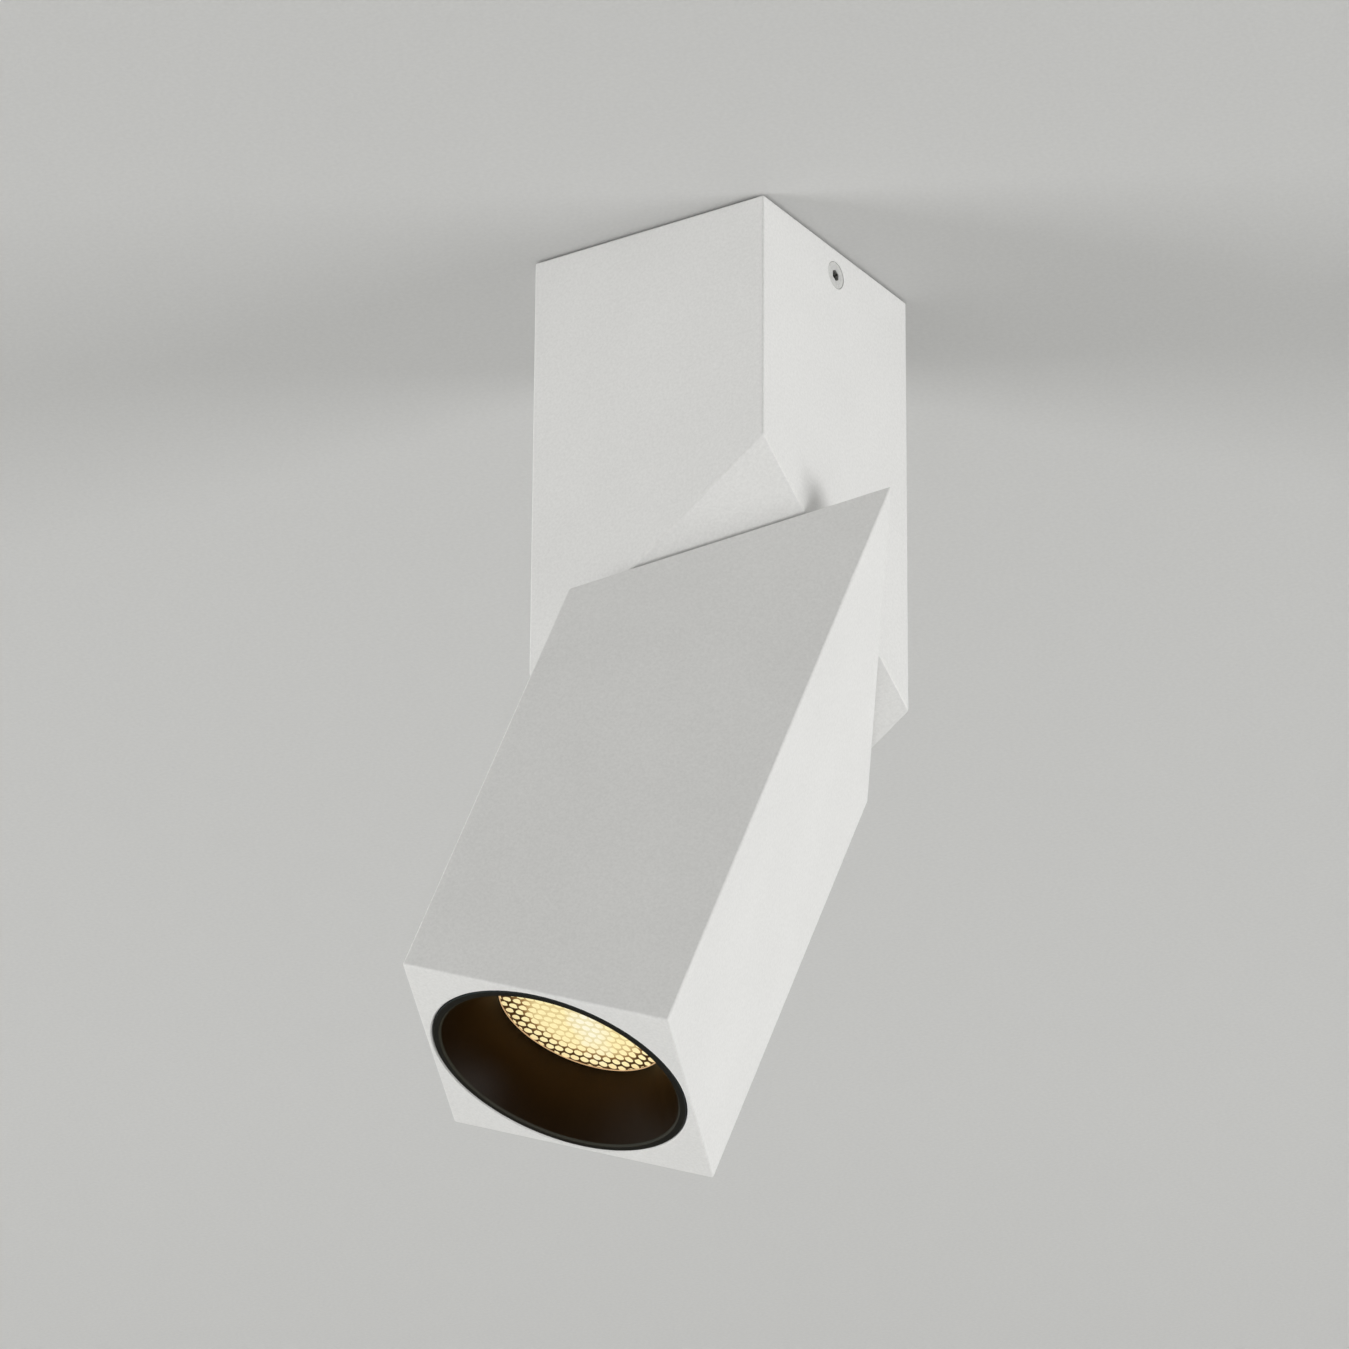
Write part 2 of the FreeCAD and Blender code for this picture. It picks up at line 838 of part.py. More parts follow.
def upper_housing():
    """A square tube, open at the ceiling and closed by a plate along the cut."""
    half = side / 2
    body = block(-half, half, -half, half, -reach, -shadow_gap)
    body = cut_bar(body, above_plane(on_pivot, cut_gap / 2), on_pivot, cut_gap / 2)
    hollow = rounded_slab(cavity_half, cavity_half, inner_corner, -reach, overrun)
    body = body.cut(hollow.common(above_plane(on_pivot, upper_plate_top)))
    boss = placed(rod(boss_radius, upper_plate_top - overrun, thrust_level), on_pivot)
    body = body.fuse(boss.common(hollow)).removeSplitter()
    pivot_hole = rod(pivot_radius + running_clearance, -overrun, thrust_level + overrun)
    pin_hole = rod(stop_pin_radius + press_clearance, -overrun, upper_plate_top + overrun)
    body = body.cut([placed(pivot_hole, on_pivot), placed(pin_hole, on_stop())])
    for way in (-1, 1):
        body = body.cut(placed(countersink(), facing(way * half, 0, -side_screw_drop, V(way, 0, 0))))
    return body


def countersink():
    """The hole of a side screw, from the outer face at height 0 down through the wall."""
    hole_radius = side_screw_radius + countersink_gap
    mouth_radius = side_screw_head_radius + countersink_gap
    rim = side_screw_rim + side_screw_sink
    return turned([
        (0, overrun, 0),
        (mouth_radius, overrun, 0),
        (mouth_radius, -rim, 0),
        (hole_radius, -rim - (mouth_radius - hole_radius), 0),
        (hole_radius, -wall - overrun, 0),
        (0, -wall - overrun, 0),
    ])


def side_screws():
    """The two countersunk socket screws, one in each side face."""
    cone_end = -side_screw_rim - (side_screw_head_radius - side_screw_radius)
    screw = turned([
        (0, 0, 0),
        (side_screw_head_radius, 0, 0),
        (side_screw_head_radius, -side_screw_rim, 0),
        (side_screw_radius, cone_end, 0),
        (side_screw_radius, -side_screw_length, 0),
        (0, -side_screw_length, 0),
    ])
    screw = screw.cut(hexagon(side_screw_socket, -side_screw_socket_depth, overrun))
    face = side / 2 - side_screw_sink
    return Part.makeCompound(
        [placed(screw, facing(way * face, 0, -side_screw_drop, V(way, 0, 0))) for way in (-1, 1)]
    )


# PIVOT AND STOP

def on_stop():
    """From the stop pin's own axis to its place in the upper plate."""
    angle = radians(stop_bearing)
    return on_pivot.multiply(at(stop_radius * cos(angle), stop_radius * sin(angle), 0))


def stop_pin():
    """The dowel that stands out of the upper plate into the track below."""
    return placed(rod(stop_pin_radius, stop_pin_end, upper_plate_top), on_stop())


def thrust_washer_ring():
    """The steel washer on the boss of the upper plate."""
    bore_radius = pivot_radius + running_clearance
    top = thrust_level + thrust_washer
    return placed(tube(thrust_washer_radius, bore_radius, thrust_level, top), on_pivot)


def disc_springs():
    """Two coned spring washers, set rim to rim, that make the swivel stiff to turn."""
    inner = pivot_radius + thread_clearance
    cone = turned([
        (inner, spring_cone, 0),
        (spring_radius, 0, 0),
        (spring_radius, spring_sheet, 0),
        (inner, spring_height, 0),
    ])
    flipped = placed(cone, facing(0, 0, 2 * spring_height, V(0, 0, -1)))
    return aimed_pivot(Part.makeCompound([cone, flipped]), spring_level)


def aimed_pivot(shape, level):
    """Lays a piece that turns with the lamp head along the pivot, at this level from the cut."""
    return aimed(placed(shape, on_head_pivot.multiply(at(0, 0, level))))


def double_flat(radius, flat_half, low, high):
    """A rod along Z with a flat on each side."""
    return rod(radius, low, high).common(block(-radius, radius, -flat_half, flat_half, low, high))


def pivot_bolt():
    """The hollow bolt: a flanged hexagon head above, two flats through the lower plate."""
    flat_half = pivot_radius - pivot_flat_depth
    bolt = rod(pivot_radius, -cut_gap / 2, pivot_head_level)
    bolt = bolt.fuse([
        double_flat(pivot_radius, flat_half, pivot_end, -cut_gap / 2),
        rod(pivot_flange_radius, pivot_head_level, pivot_head_level + pivot_flange),
        hexagon(pivot_head_across, pivot_head_level + pivot_flange, pivot_head_top),
    ]).removeSplitter()
    bore = turned([
        (0, pivot_end, 0),
        (pivot_bore_radius + pivot_bore_rounding, pivot_end, 0),
        (pivot_bore_radius, pivot_end + pivot_bore_rounding, 0),
        (pivot_bore_radius, pivot_head_top - pivot_bore_rounding, 0),
        (pivot_bore_radius + pivot_bore_rounding, pivot_head_top, 0),
        (0, pivot_head_top, 0),
    ])
    return aimed_pivot(bolt.cut(bore), 0)


def slip_washer():
    """The thin low-friction washer that the two halves slide on."""
    bore_radius = pivot_radius + thread_clearance
    top = cut_gap / 2 - running_clearance
    return aimed_pivot(tube(slip_washer_radius, bore_radius, -cut_gap / 2, top), 0)


def pivot_washer():
    """The plain washer under the lower plate."""
    bore_radius = pivot_radius + thread_clearance
    return aimed_pivot(tube(plain_washer_radius, bore_radius, nut_level, plain_washer_level), 0)


def pivot_nut():
    """The thin nut that locks the pivot bolt to the lamp head."""
    nut = hexagon(nut_across, nut_level - nut_height, nut_level)
    corner_radius = nut_across / 2 / cos(pi / 6)
    slope = corner_radius - nut_across / 2
    turned_down = turned([
        (0, nut_level - nut_height, 0),
        (nut_across / 2, nut_level - nut_height, 0),
        (corner_radius, nut_level - nut_height + slope, 0),
        (corner_radius, nut_level, 0),
        (0, nut_level, 0),
    ])
    bore = rod(pivot_radius + thread_clearance, nut_level - nut_height - overrun, nut_level + overrun)
    return aimed_pivot(nut.common(turned_down).cut(bore), 0)


# LAMP HOUSING

def lamp_housing():
    """The lamp's square body: a plate along the cut and a stepped bore from the end face."""
    half = side / 2
    body = block(-half, half, -half, half, 0, reach)
    body = cut_bar(body, below_plane(on_head_pivot, -cut_gap / 2), on_head_pivot, -cut_gap / 2)
    lamp_bore = turned([
        (0, -overrun, 0),
        (lamp_bore_radius + mouth_rounding, -overrun, 0),
        (lamp_bore_radius + mouth_rounding, 0, 0),
        (lamp_bore_radius, mouth_rounding, 0),
        (lamp_bore_radius, shoulder_depth, 0),
        (0, shoulder_depth, 0),
    ])
    sink_bore = rod(sink_bore_radius, shoulder_depth - overrun, reach)
    boss = placed(rod(boss_radius, plain_washer_level, lower_plate_base + overrun), on_head_pivot)
    hollow = sink_bore.common(below_plane(on_head_pivot, lower_plate_base)).cut(boss)
    body = body.cut([lamp_bore, hollow])
    body = body.cut([placed(pivot_keyhole(), on_head_pivot), placed(stop_track(), on_head_pivot)])
    tapped_radius = small_screw_radius + thread_clearance
    tapped = rod(tapped_radius, shoulder_depth - overrun, tapped_end(), sink_screw_reach)
    pocket = snap_block(snap_clearance)
    body = body.cut(ring_of(tapped, sink_screw_count, sink_screw_bearing))
    return aimed(body.cut(ring_of(pocket, snap_count, snap_bearing)))


def tapped_end():
    """How deep the heat sink's screws are tapped into the shoulder."""
    return sink_face + sink_screw_length + tapped_spare


def pivot_keyhole():
    """The hole for the pivot bolt in the lower plate, with its two flats."""
    flat_half = pivot_radius - pivot_flat_depth + thread_clearance
    return double_flat(pivot_radius + thread_clearance, flat_half, plain_washer_level - overrun, overrun)


def stop_track():
    """The curved groove that the stop pin runs in, as long as the swing and round at its ends."""
    floor = stop_pin_end - stop_track_clearance
    outer = stop_radius + stop_track_half
    inner = stop_radius - stop_track_half
    first = stop_bearing - swing
    sector = Part.makeCylinder(outer, -floor, V(0, 0, floor), V(0, 0, 1), 2 * swing)
    track = turned_about_z(sector.cut(rod(inner, floor - overrun, overrun)), first)
    end = rod(stop_track_half, floor, 0, stop_radius)
    return track.fuse([turned_about_z(end, first), turned_about_z(end, first + 2 * swing)])


def snap_block(clearance):
    """A snap lug of the baffle, or with a clearance its pocket in the lamp housing."""
    low = baffle_skirt - snap_setback - snap_height / 2 - clearance
    return block(
        baffle_radius - baffle_wall / 2,
        baffle_radius + snap_reach + 2 * clearance,
        -snap_width / 2 - clearance,
        snap_width / 2 + clearance,
        low,
        low + snap_height + 2 * clearance,
    )


# HEAT SINK AND LIGHT SOURCE

def heat_sink():
    """A flange that seats on the housing's shoulder, with radial fins up into the bore."""
    sink = rod(lamp_bore_radius - baffle_gap, sink_face, shoulder_depth)
    fin = block(0, fin_radius, -fin_thickness / 2, fin_thickness / 2, shoulder_depth, fin_top)
    core = rod(sink_core_radius, shoulder_depth, fin_top)
    first_fin = 180 / fin_count
    sink = sink.fuse([core] + ring_of(fin, fin_count, first_fin)).removeSplitter()
    lead_bearing = cut_bearing - 90
    out = (lower_lead_turn.x ** 2 + lower_lead_turn.y ** 2) ** 0.5
    hole = rod(lead_hole_radius, sink_face - overrun, fin_top + overrun, out)
    gap = block(out, sink_bore_radius, -lead_hole_radius, lead_hole_radius, shoulder_depth, fin_top + overrun)
    hole_radius = small_screw_radius + thread_clearance
    screw_hole = rod(hole_radius, sink_face - overrun, shoulder_depth + overrun, sink_screw_reach)
    holder_hole = rod(hole_radius, sink_face - overrun, shoulder_depth, holder_screw_reach)
    sink = sink.cut([turned_about_z(hole.fuse(gap), lead_bearing)])
    sink = sink.cut(ring_of(screw_hole, sink_screw_count, sink_screw_bearing))
    return aimed(sink.cut(ring_of(holder_hole, 2, 0)))


def heat_sink_screws():
    """The screws that hold the heat sink on the shoulder."""
    screw = placed(small_screw(sink_screw_length), facing(sink_screw_reach, 0, sink_face, V(0, 0, -1)))
    return aimed(Part.makeCompound(ring_of(screw, sink_screw_count, sink_screw_bearing)))


def lead_grommet():
    """The rubber grommet where the lead passes the heat sink's flange."""
    grommet = turned([
        (lead_radius + thread_clearance, sink_face, 0),
        (lead_hole_radius, sink_face, 0),
        (lead_hole_radius, shoulder_depth + grommet_proud, bush_rounding),
        (lead_radius + thread_clearance, shoulder_depth + grommet_proud, 0),
    ])
    return aimed(placed(grommet, at(lower_lead_turn.x, lower_lead_turn.y, 0)))


def lamp_lead():
    """The lamp lead below the cut: out of the hollow pivot and down to the lamp holder."""
    end = V(lower_lead_turn.x, lower_lead_turn.y, sink_face)
    return aimed(lead("lamp lead", [head_pivot_point, lower_lead_turn, end], lead_radius))


def thermal_pad():
    """The soft sheet between the light board and the heat sink."""
    half = light_board_side / 2
    return aimed(block(-half, half, -half, half, sink_face - pad_thickness, sink_face))


def light_board():
    """The square board that carries the light source."""
    half = light_board_side / 2
    back = light_board_level + light_board_thickness
    return aimed(block(-half, half, -half, half, light_board_level, back))


def emitter():
    """The round field of light-emitting chips under its yellow cover."""
    low = light_board_level - emitter_thickness
    return aimed(turned([
        (0, low, 0),
        (emitter_radius, low, emitter_thickness / 2),
        (emitter_radius, light_board_level, 0),
        (0, light_board_level, 0),
    ]))


def lamp_holder():
    """The moulded ring that presses the light board on the heat sink and takes the lead."""
    holder = turned([
        (holder_opening_radius, holder_level, holder_rounding),
        (holder_radius, holder_level, holder_rounding),
        (holder_radius, sink_face, 0),
        (holder_opening_radius, sink_face, 0),
    ])
    lug = slab([
        (holder_opening_radius + holder_thickness, -holder_lug_width / 2, 0),
        (holder_lug_reach, -holder_lug_width / 2, holder_thickness / 2),
        (holder_lug_reach, holder_lug_width / 2, holder_thickness / 2),
        (holder_opening_radius + holder_thickness, holder_lug_width / 2, 0),
    ], holder_level, sink_face)
    holder = holder.fuse(turned_about_z(lug, cut_bearing - 90)).removeSplitter()
    edge = light_board_side / 2 + light_board_gap
    pocket = block(-edge, edge, -edge, edge, light_board_level, sink_face + overrun)
    hole_radius = small_screw_radius + thread_clearance
    screw_hole = rod(hole_radius, holder_level - overrun, sink_face + overrun, holder_screw_reach)
    head_hole = rod(
        small_screw_head_radius + light_board_gap,
        holder_level - overrun,
        holder_level + small_screw_head,
        holder_screw_reach,
    )
    return aimed(holder.cut([pocket] + ring_of(screw_hole.fuse(head_hole), 2, 0)))


def holder_screws():
    """The two sunk screws of the lamp holder."""
    level = holder_level + small_screw_head
    screw = small_screw(holder_screw_length - small_screw_head)
    screw = placed(screw, facing(holder_screw_reach, 0, level, V(0, 0, -1)))
    return aimed(Part.makeCompound(ring_of(screw, 2, 0)))


# OPTICS AND BAFFLE

def reflector():
    """The bowl between the light source and the lens, with a rim behind the lens."""
    rise = holder_level - rim_level
    spread = reflector_mouth_radius - reflector_throat_radius
    bulge = V(reflector_throat_radius + reflector_bulge_share * spread, 0, holder_level - rise / 2)
    throat = V(reflector_throat_radius, 0, holder_level)
    mouth = V(reflector_mouth_radius, 0, rim_level)
    outward = V(reflector_wall, 0, 0)
    rim_out = V(lens_radius, 0, rim_level)
    rim_back = V(lens_radius, 0, rim_level + reflector_rim)
    rim_root = V(reflector_mouth_radius + reflector_wall / 2, 0, rim_level + reflector_rim)
    wire = Part.Wire([
        Part.Arc(throat, bulge, mouth).toShape(),
        Part.makeLine(mouth, rim_out),
        Part.makeLine(rim_out, rim_back),
        Part.makeLine(rim_back, rim_root),
        Part.Arc(rim_root, bulge + outward, throat + outward).toShape(),
        Part.makeLine(throat + outward, throat),
    ])
    return aimed(Part.Face(wire).revolve(V(0, 0, 0), V(0, 0, 1), 360))


def lens_gasket():
    """The soft ring between the lens and the reflector's rim."""
    return aimed(tube(lens_radius, reflector_mouth_radius, gasket_level, rim_level))


def lens():
    """The disc of the beam-shaping lens."""
    return aimed(turned([
        (0, baffle_depth, 0),
        (lens_radius - lens_chamfer, baffle_depth, 0),
        (lens_radius, baffle_depth + lens_chamfer, 0),
        (lens_radius, gasket_level, 0),
        (0, gasket_level, 0),
    ]))


def baffle():
    """The black funnel: a rim flush with the end face, a cone to the lens and a snap-in skirt."""
    narrowing = (baffle_mouth_radius - baffle_throat_radius) / (baffle_depth - baffle_chamfer)
    thickness_across = baffle_wall * (1 + narrowing ** 2) ** 0.5
    back_start = baffle_mouth_radius + thickness_across
    skirt_inner = baffle_radius - baffle_wall
    collar_outer = lens_radius + baffle_wall + running_clearance
    funnel = turned([
        (baffle_mouth_radius + baffle_chamfer, 0, 0),
        (baffle_radius, 0, baffle_rounding),
        (baffle_radius, baffle_skirt, 0),
        (skirt_inner, baffle_skirt, 0),
        (skirt_inner, baffle_chamfer + (back_start - skirt_inner) / narrowing, 0),
        (collar_outer, baffle_chamfer + (back_start - collar_outer) / narrowing, 0),
        (collar_outer, baffle_depth + baffle_collar, 0),
        (lens_radius + running_clearance, baffle_depth + baffle_collar, 0),
        (lens_radius + running_clearance, baffle_depth, 0),
        (baffle_throat_radius, baffle_depth, 0),
        (baffle_mouth_radius, baffle_chamfer, 0),
    ])
    return aimed(funnel.fuse(ring_of(snap_block(0), snap_count, snap_bearing)).removeSplitter())


# EXPORT

makers = {
    "ceiling_bracket": ceiling_bracket,
    "driver_bracket": driver_bracket,
    "bracket_rivets": bracket_rivets,
    "cable_bush": cable_bush,
    "terminal_block": terminal_block,
    "terminal_screws": terminal_screws,
    "earth_screw": earth_screw,
    "supply_wires": supply_wires,
    "driver_case": driver_case,
    "driver_cover": driver_cover,
    "driver_board": driver_board,
    "driver_transformer": driver_transformer,
    "driver_capacitors": driver_capacitors,
    "driver_choke": driver_choke,
    "driver_screws": driver_screws,
    "driver_gland": driver_gland,
    "upper_lead": upper_lead,
    "upper_housing": upper_housing,
    "side_screws": side_screws,
    "stop_pin": stop_pin,
    "thrust_washer": thrust_washer_ring,
    "disc_springs": disc_springs,
    "pivot_bolt": pivot_bolt,
    "slip_washer": slip_washer,
    "pivot_washer": pivot_washer,
    "pivot_nut": pivot_nut,
    "lamp_housing": lamp_housing,
    "heat_sink": heat_sink,
    "heat_sink_screws": heat_sink_screws,
    "lead_grommet": lead_grommet,
    "lamp_lead": lamp_lead,
    "thermal_pad": thermal_pad,
    "light_board": light_board,
    "emitter": emitter,
    "lamp_holder": lamp_holder,
    "holder_screws": holder_screws,
    "reflector": reflector,
    "lens_gasket": lens_gasket,
    "lens": lens,
    "baffle": baffle,
}

os.makedirs("parts", exist_ok=True)
for node, make in makers.items():
    shape = make()
    print(node, "solids", len(shape.Solids), "valid", shape.isValid(), "volume", round(shape.Volume, 1))
    shape.exportStep("parts/" + node + ".step")
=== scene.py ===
import json
from math import cos, hypot, pi, radians, sin

import bmesh
import bpy
from mathutils import Matrix, Vector


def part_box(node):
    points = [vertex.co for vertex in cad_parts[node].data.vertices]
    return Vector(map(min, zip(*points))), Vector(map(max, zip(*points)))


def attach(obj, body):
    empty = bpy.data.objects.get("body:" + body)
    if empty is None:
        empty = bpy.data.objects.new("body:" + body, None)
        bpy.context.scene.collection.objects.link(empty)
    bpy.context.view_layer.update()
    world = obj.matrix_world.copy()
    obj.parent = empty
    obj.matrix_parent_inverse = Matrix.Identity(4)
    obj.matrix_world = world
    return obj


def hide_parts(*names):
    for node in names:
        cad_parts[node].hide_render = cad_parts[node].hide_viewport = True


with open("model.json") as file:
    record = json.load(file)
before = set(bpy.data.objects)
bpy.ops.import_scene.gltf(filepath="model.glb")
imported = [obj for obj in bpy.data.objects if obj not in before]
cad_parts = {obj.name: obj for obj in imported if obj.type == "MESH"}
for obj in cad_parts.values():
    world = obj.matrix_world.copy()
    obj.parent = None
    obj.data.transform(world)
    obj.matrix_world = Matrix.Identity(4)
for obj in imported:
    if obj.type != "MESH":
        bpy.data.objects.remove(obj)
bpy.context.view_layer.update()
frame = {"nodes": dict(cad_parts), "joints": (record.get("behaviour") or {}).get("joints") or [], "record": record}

# The looks of a square ceiling spotlight, lit and seen from below. Lengths are in metres,
# in the frame of the model: Z points up and the ceiling is at height 0.

MM = 0.001
nodes = frame["nodes"]
swivel = frame["joints"][0]

# The camera, fitted to the corners of the photographed object. The roll is in degrees,
# the lens and the sensor are in millimetres.
CAMERA_PLACE = Vector((1.0539, -1.6488, -1.0389))
CAMERA_AIM = Vector((-0.0085, -0.0096, -0.1227))
CAMERA_ROLL = -0.39
CAMERA_LENS = 211.8
SENSOR_WIDTH = 36.0
CLIP_START = 0.05
CLIP_END = 60.0

# How the lamp head hangs: it is built straight and then turned about the swivel, in degrees
BAR_LENGTH = 254 * MM
REST_TURN = 30.0

# The lens and its hexagonal field of beads, with depths counted from the head's end face
LENS_RADIUS = 25.35 * MM
FIELD_RADIUS = 23.4 * MM
LENS_FRONT = 17.65 * MM
LENS_BACK = 20.1 * MM
BEAD_PITCH = 2.76 * MM
BEAD_STRETCH = 1.155
BEAD_TURN = radians(2.5)
BEAD_SHIFT = (0.45 * MM, -0.59 * MM)
BEAD_RADII = (1.36 * MM, 1.12 * MM)
BEAD_HEIGHT = 0.25 * MM
BEAD_RINGS = 5
BEAD_SECTORS = 12
BEAD_LEAN = 0.60
LEAN_START = 4 * MM
LEAN_END = 18 * MM
FIELD_BASE = LENS_FRONT + BEAD_HEIGHT

# Corners closer than the join reach become one. The lit rim lies outside the start and
# within this depth of the lens front.
JOIN_REACH = 0.004 * MM
RIM_START = 0.999 * FIELD_RADIUS
RIM_DEPTH = 0.1 * MM

# The light of the lens, each zone from where it starts to where it is full, as a share of
# the lens's radius. The streak passes the middle and is long along Y.
STREAK_SHAPE = (1.0, 0.25, 0.0)
STREAK_MIDDLE = (0.05, 0.0, 0.0)
STREAK_FADE = (0.05, 0.24)
GAPS_BROWN = (0.54, 0.72)
GAPS_DARK = (0.66, 0.80)
BEADS_SMALLER = (0.60, 0.88)
BEADS_TAN = (0.82, 0.98)
RIM_GLOWS = (FIELD_RADIUS / LENS_RADIUS - 0.0015, FIELD_RADIUS / LENS_RADIUS - 0.0005)

# The heights, from 0 in a gap to 1 on top of a bead, over which the gap turns into the bead. The heights are
# lowered on the outer side of the outer beads and set to full on the rim, as painted light.
BEAD_GLOWS = (0.10, 0.28)
BEAD_SHINES = (0.1, 0.3)

# The lamp inside the fixture, which lights the baffle
GLOW_RADIUS = 22.0 * MM
GLOW_LIFT = 0.05 * MM
GLOW_POWER = 0.105
GLOW_TONE = (1.0, 0.60, 0.22)

# The baffle's rim and inner edge, coloured paler as a painted sheen on the rim and a painted highlight along the
# edge, by depth from the head's end face
RIM_SHEEN_FADE = (0.03 * MM, 0.08 * MM)
EDGE_HIGHLIGHT_FADE = (0.45 * MM, 0.65 * MM)

# The side screws: distances from their axis, and depths from the top of the head
SCREW_RING = (2.7 * MM, 3.0 * MM)
SOCKET_WALL = (1.75 * MM, 1.8 * MM)
SOCKET_DEPTH = (0.35 * MM, 0.15 * MM)

# The room
CEILING_SIDE = 6.0
CEILING_HOLE = 0.060
CEILING_GAP = 0.05 * MM
CEILING_FAR_WAY = (-0.544, 0.839, 0.0)
CEILING_FAR_FADE = (-0.15, 0.60)
FLOOR_SIDE = 24.0
FLOOR_LEVEL = -2.6
ROOM_LIGHT = 0.645
ROOM_TONE = (0.80, 0.80, 0.795)

# The soft boxes: bearing and height angle in degrees, distance and size in metres, power in
# watts, and whether glossy pieces mirror them
SOFT_BOXES = {
    "lamp_top": dict(
        bearing=0.0, height_angle=90.0, distance=2.0, width=1.6, height=1.6, power=40.0,
        in_gloss=True),
    "lamp_left": dict(
        bearing=-50.5, height_angle=-19.0, distance=3.9, width=1.7, height=2.4, power=76.0,
        in_gloss=False),
    "lamp_right": dict(
        bearing=106.0, height_angle=-18.5, distance=3.9, width=2.0, height=1.1, power=70.5,
        in_gloss=True),
}

# Plated metals by slot: name, light and dark colour, roughness, and the spangle's size in mm
PLATED = {
    "zinc_steel": ("zinc_plate", (0.70, 0.71, 0.73), (0.50, 0.52, 0.55), 0.36, 2.2),
    "screw_steel": ("screw_plate", (0.62, 0.63, 0.65), (0.48, 0.49, 0.51), 0.30, 0.9),
    "brass": ("brass", (0.78, 0.60, 0.30), (0.62, 0.45, 0.20), 0.30, 1.2),
    "bare_aluminium": ("cast_aluminium", (0.70, 0.71, 0.72), (0.58, 0.59, 0.61), 0.44, 1.4),
}

# Mouldings by slot: name, light and dark colour, roughness, the grain's size in mm, and gloss
MOULDED = {
    "can_aluminium": (
        "can_sleeve", (0.050, 0.065, 0.110), (0.030, 0.040, 0.075), 0.28, 0.35, 0.5),
    "black_rubber": ("rubber", (0.040, 0.040, 0.042), (0.022, 0.022, 0.024), 0.72, 0.5, 0.3),
    "white_nylon": ("nylon", (0.84, 0.83, 0.79), (0.76, 0.75, 0.70), 0.46, 0.35, 0.5),
    "driver_plastic": (
        "driver_plastic", (0.80, 0.80, 0.78), (0.72, 0.72, 0.70), 0.50, 0.6, 0.5),
    "ferrite": ("ferrite", (0.100, 0.095, 0.090), (0.050, 0.047, 0.045), 0.55, 0.3, 0.5),
    "wire_sheath": ("wire_sheath", (0.36, 0.15, 0.05), (0.26, 0.10, 0.035), 0.34, 1.2, 0.5),
    "lead_sheath": ("lead_sheath", (0.78, 0.78, 0.76), (0.70, 0.70, 0.68), 0.48, 1.0, 0.5),
    "washer_plastic": (
        "washer_plastic", (0.86, 0.86, 0.84), (0.78, 0.78, 0.76), 0.40, 0.35, 0.5),
    "pad_grey": ("thermal_pad", (0.38, 0.39, 0.41), (0.28, 0.29, 0.31), 0.70, 0.8, 0.3),
}


# Helpers for materials

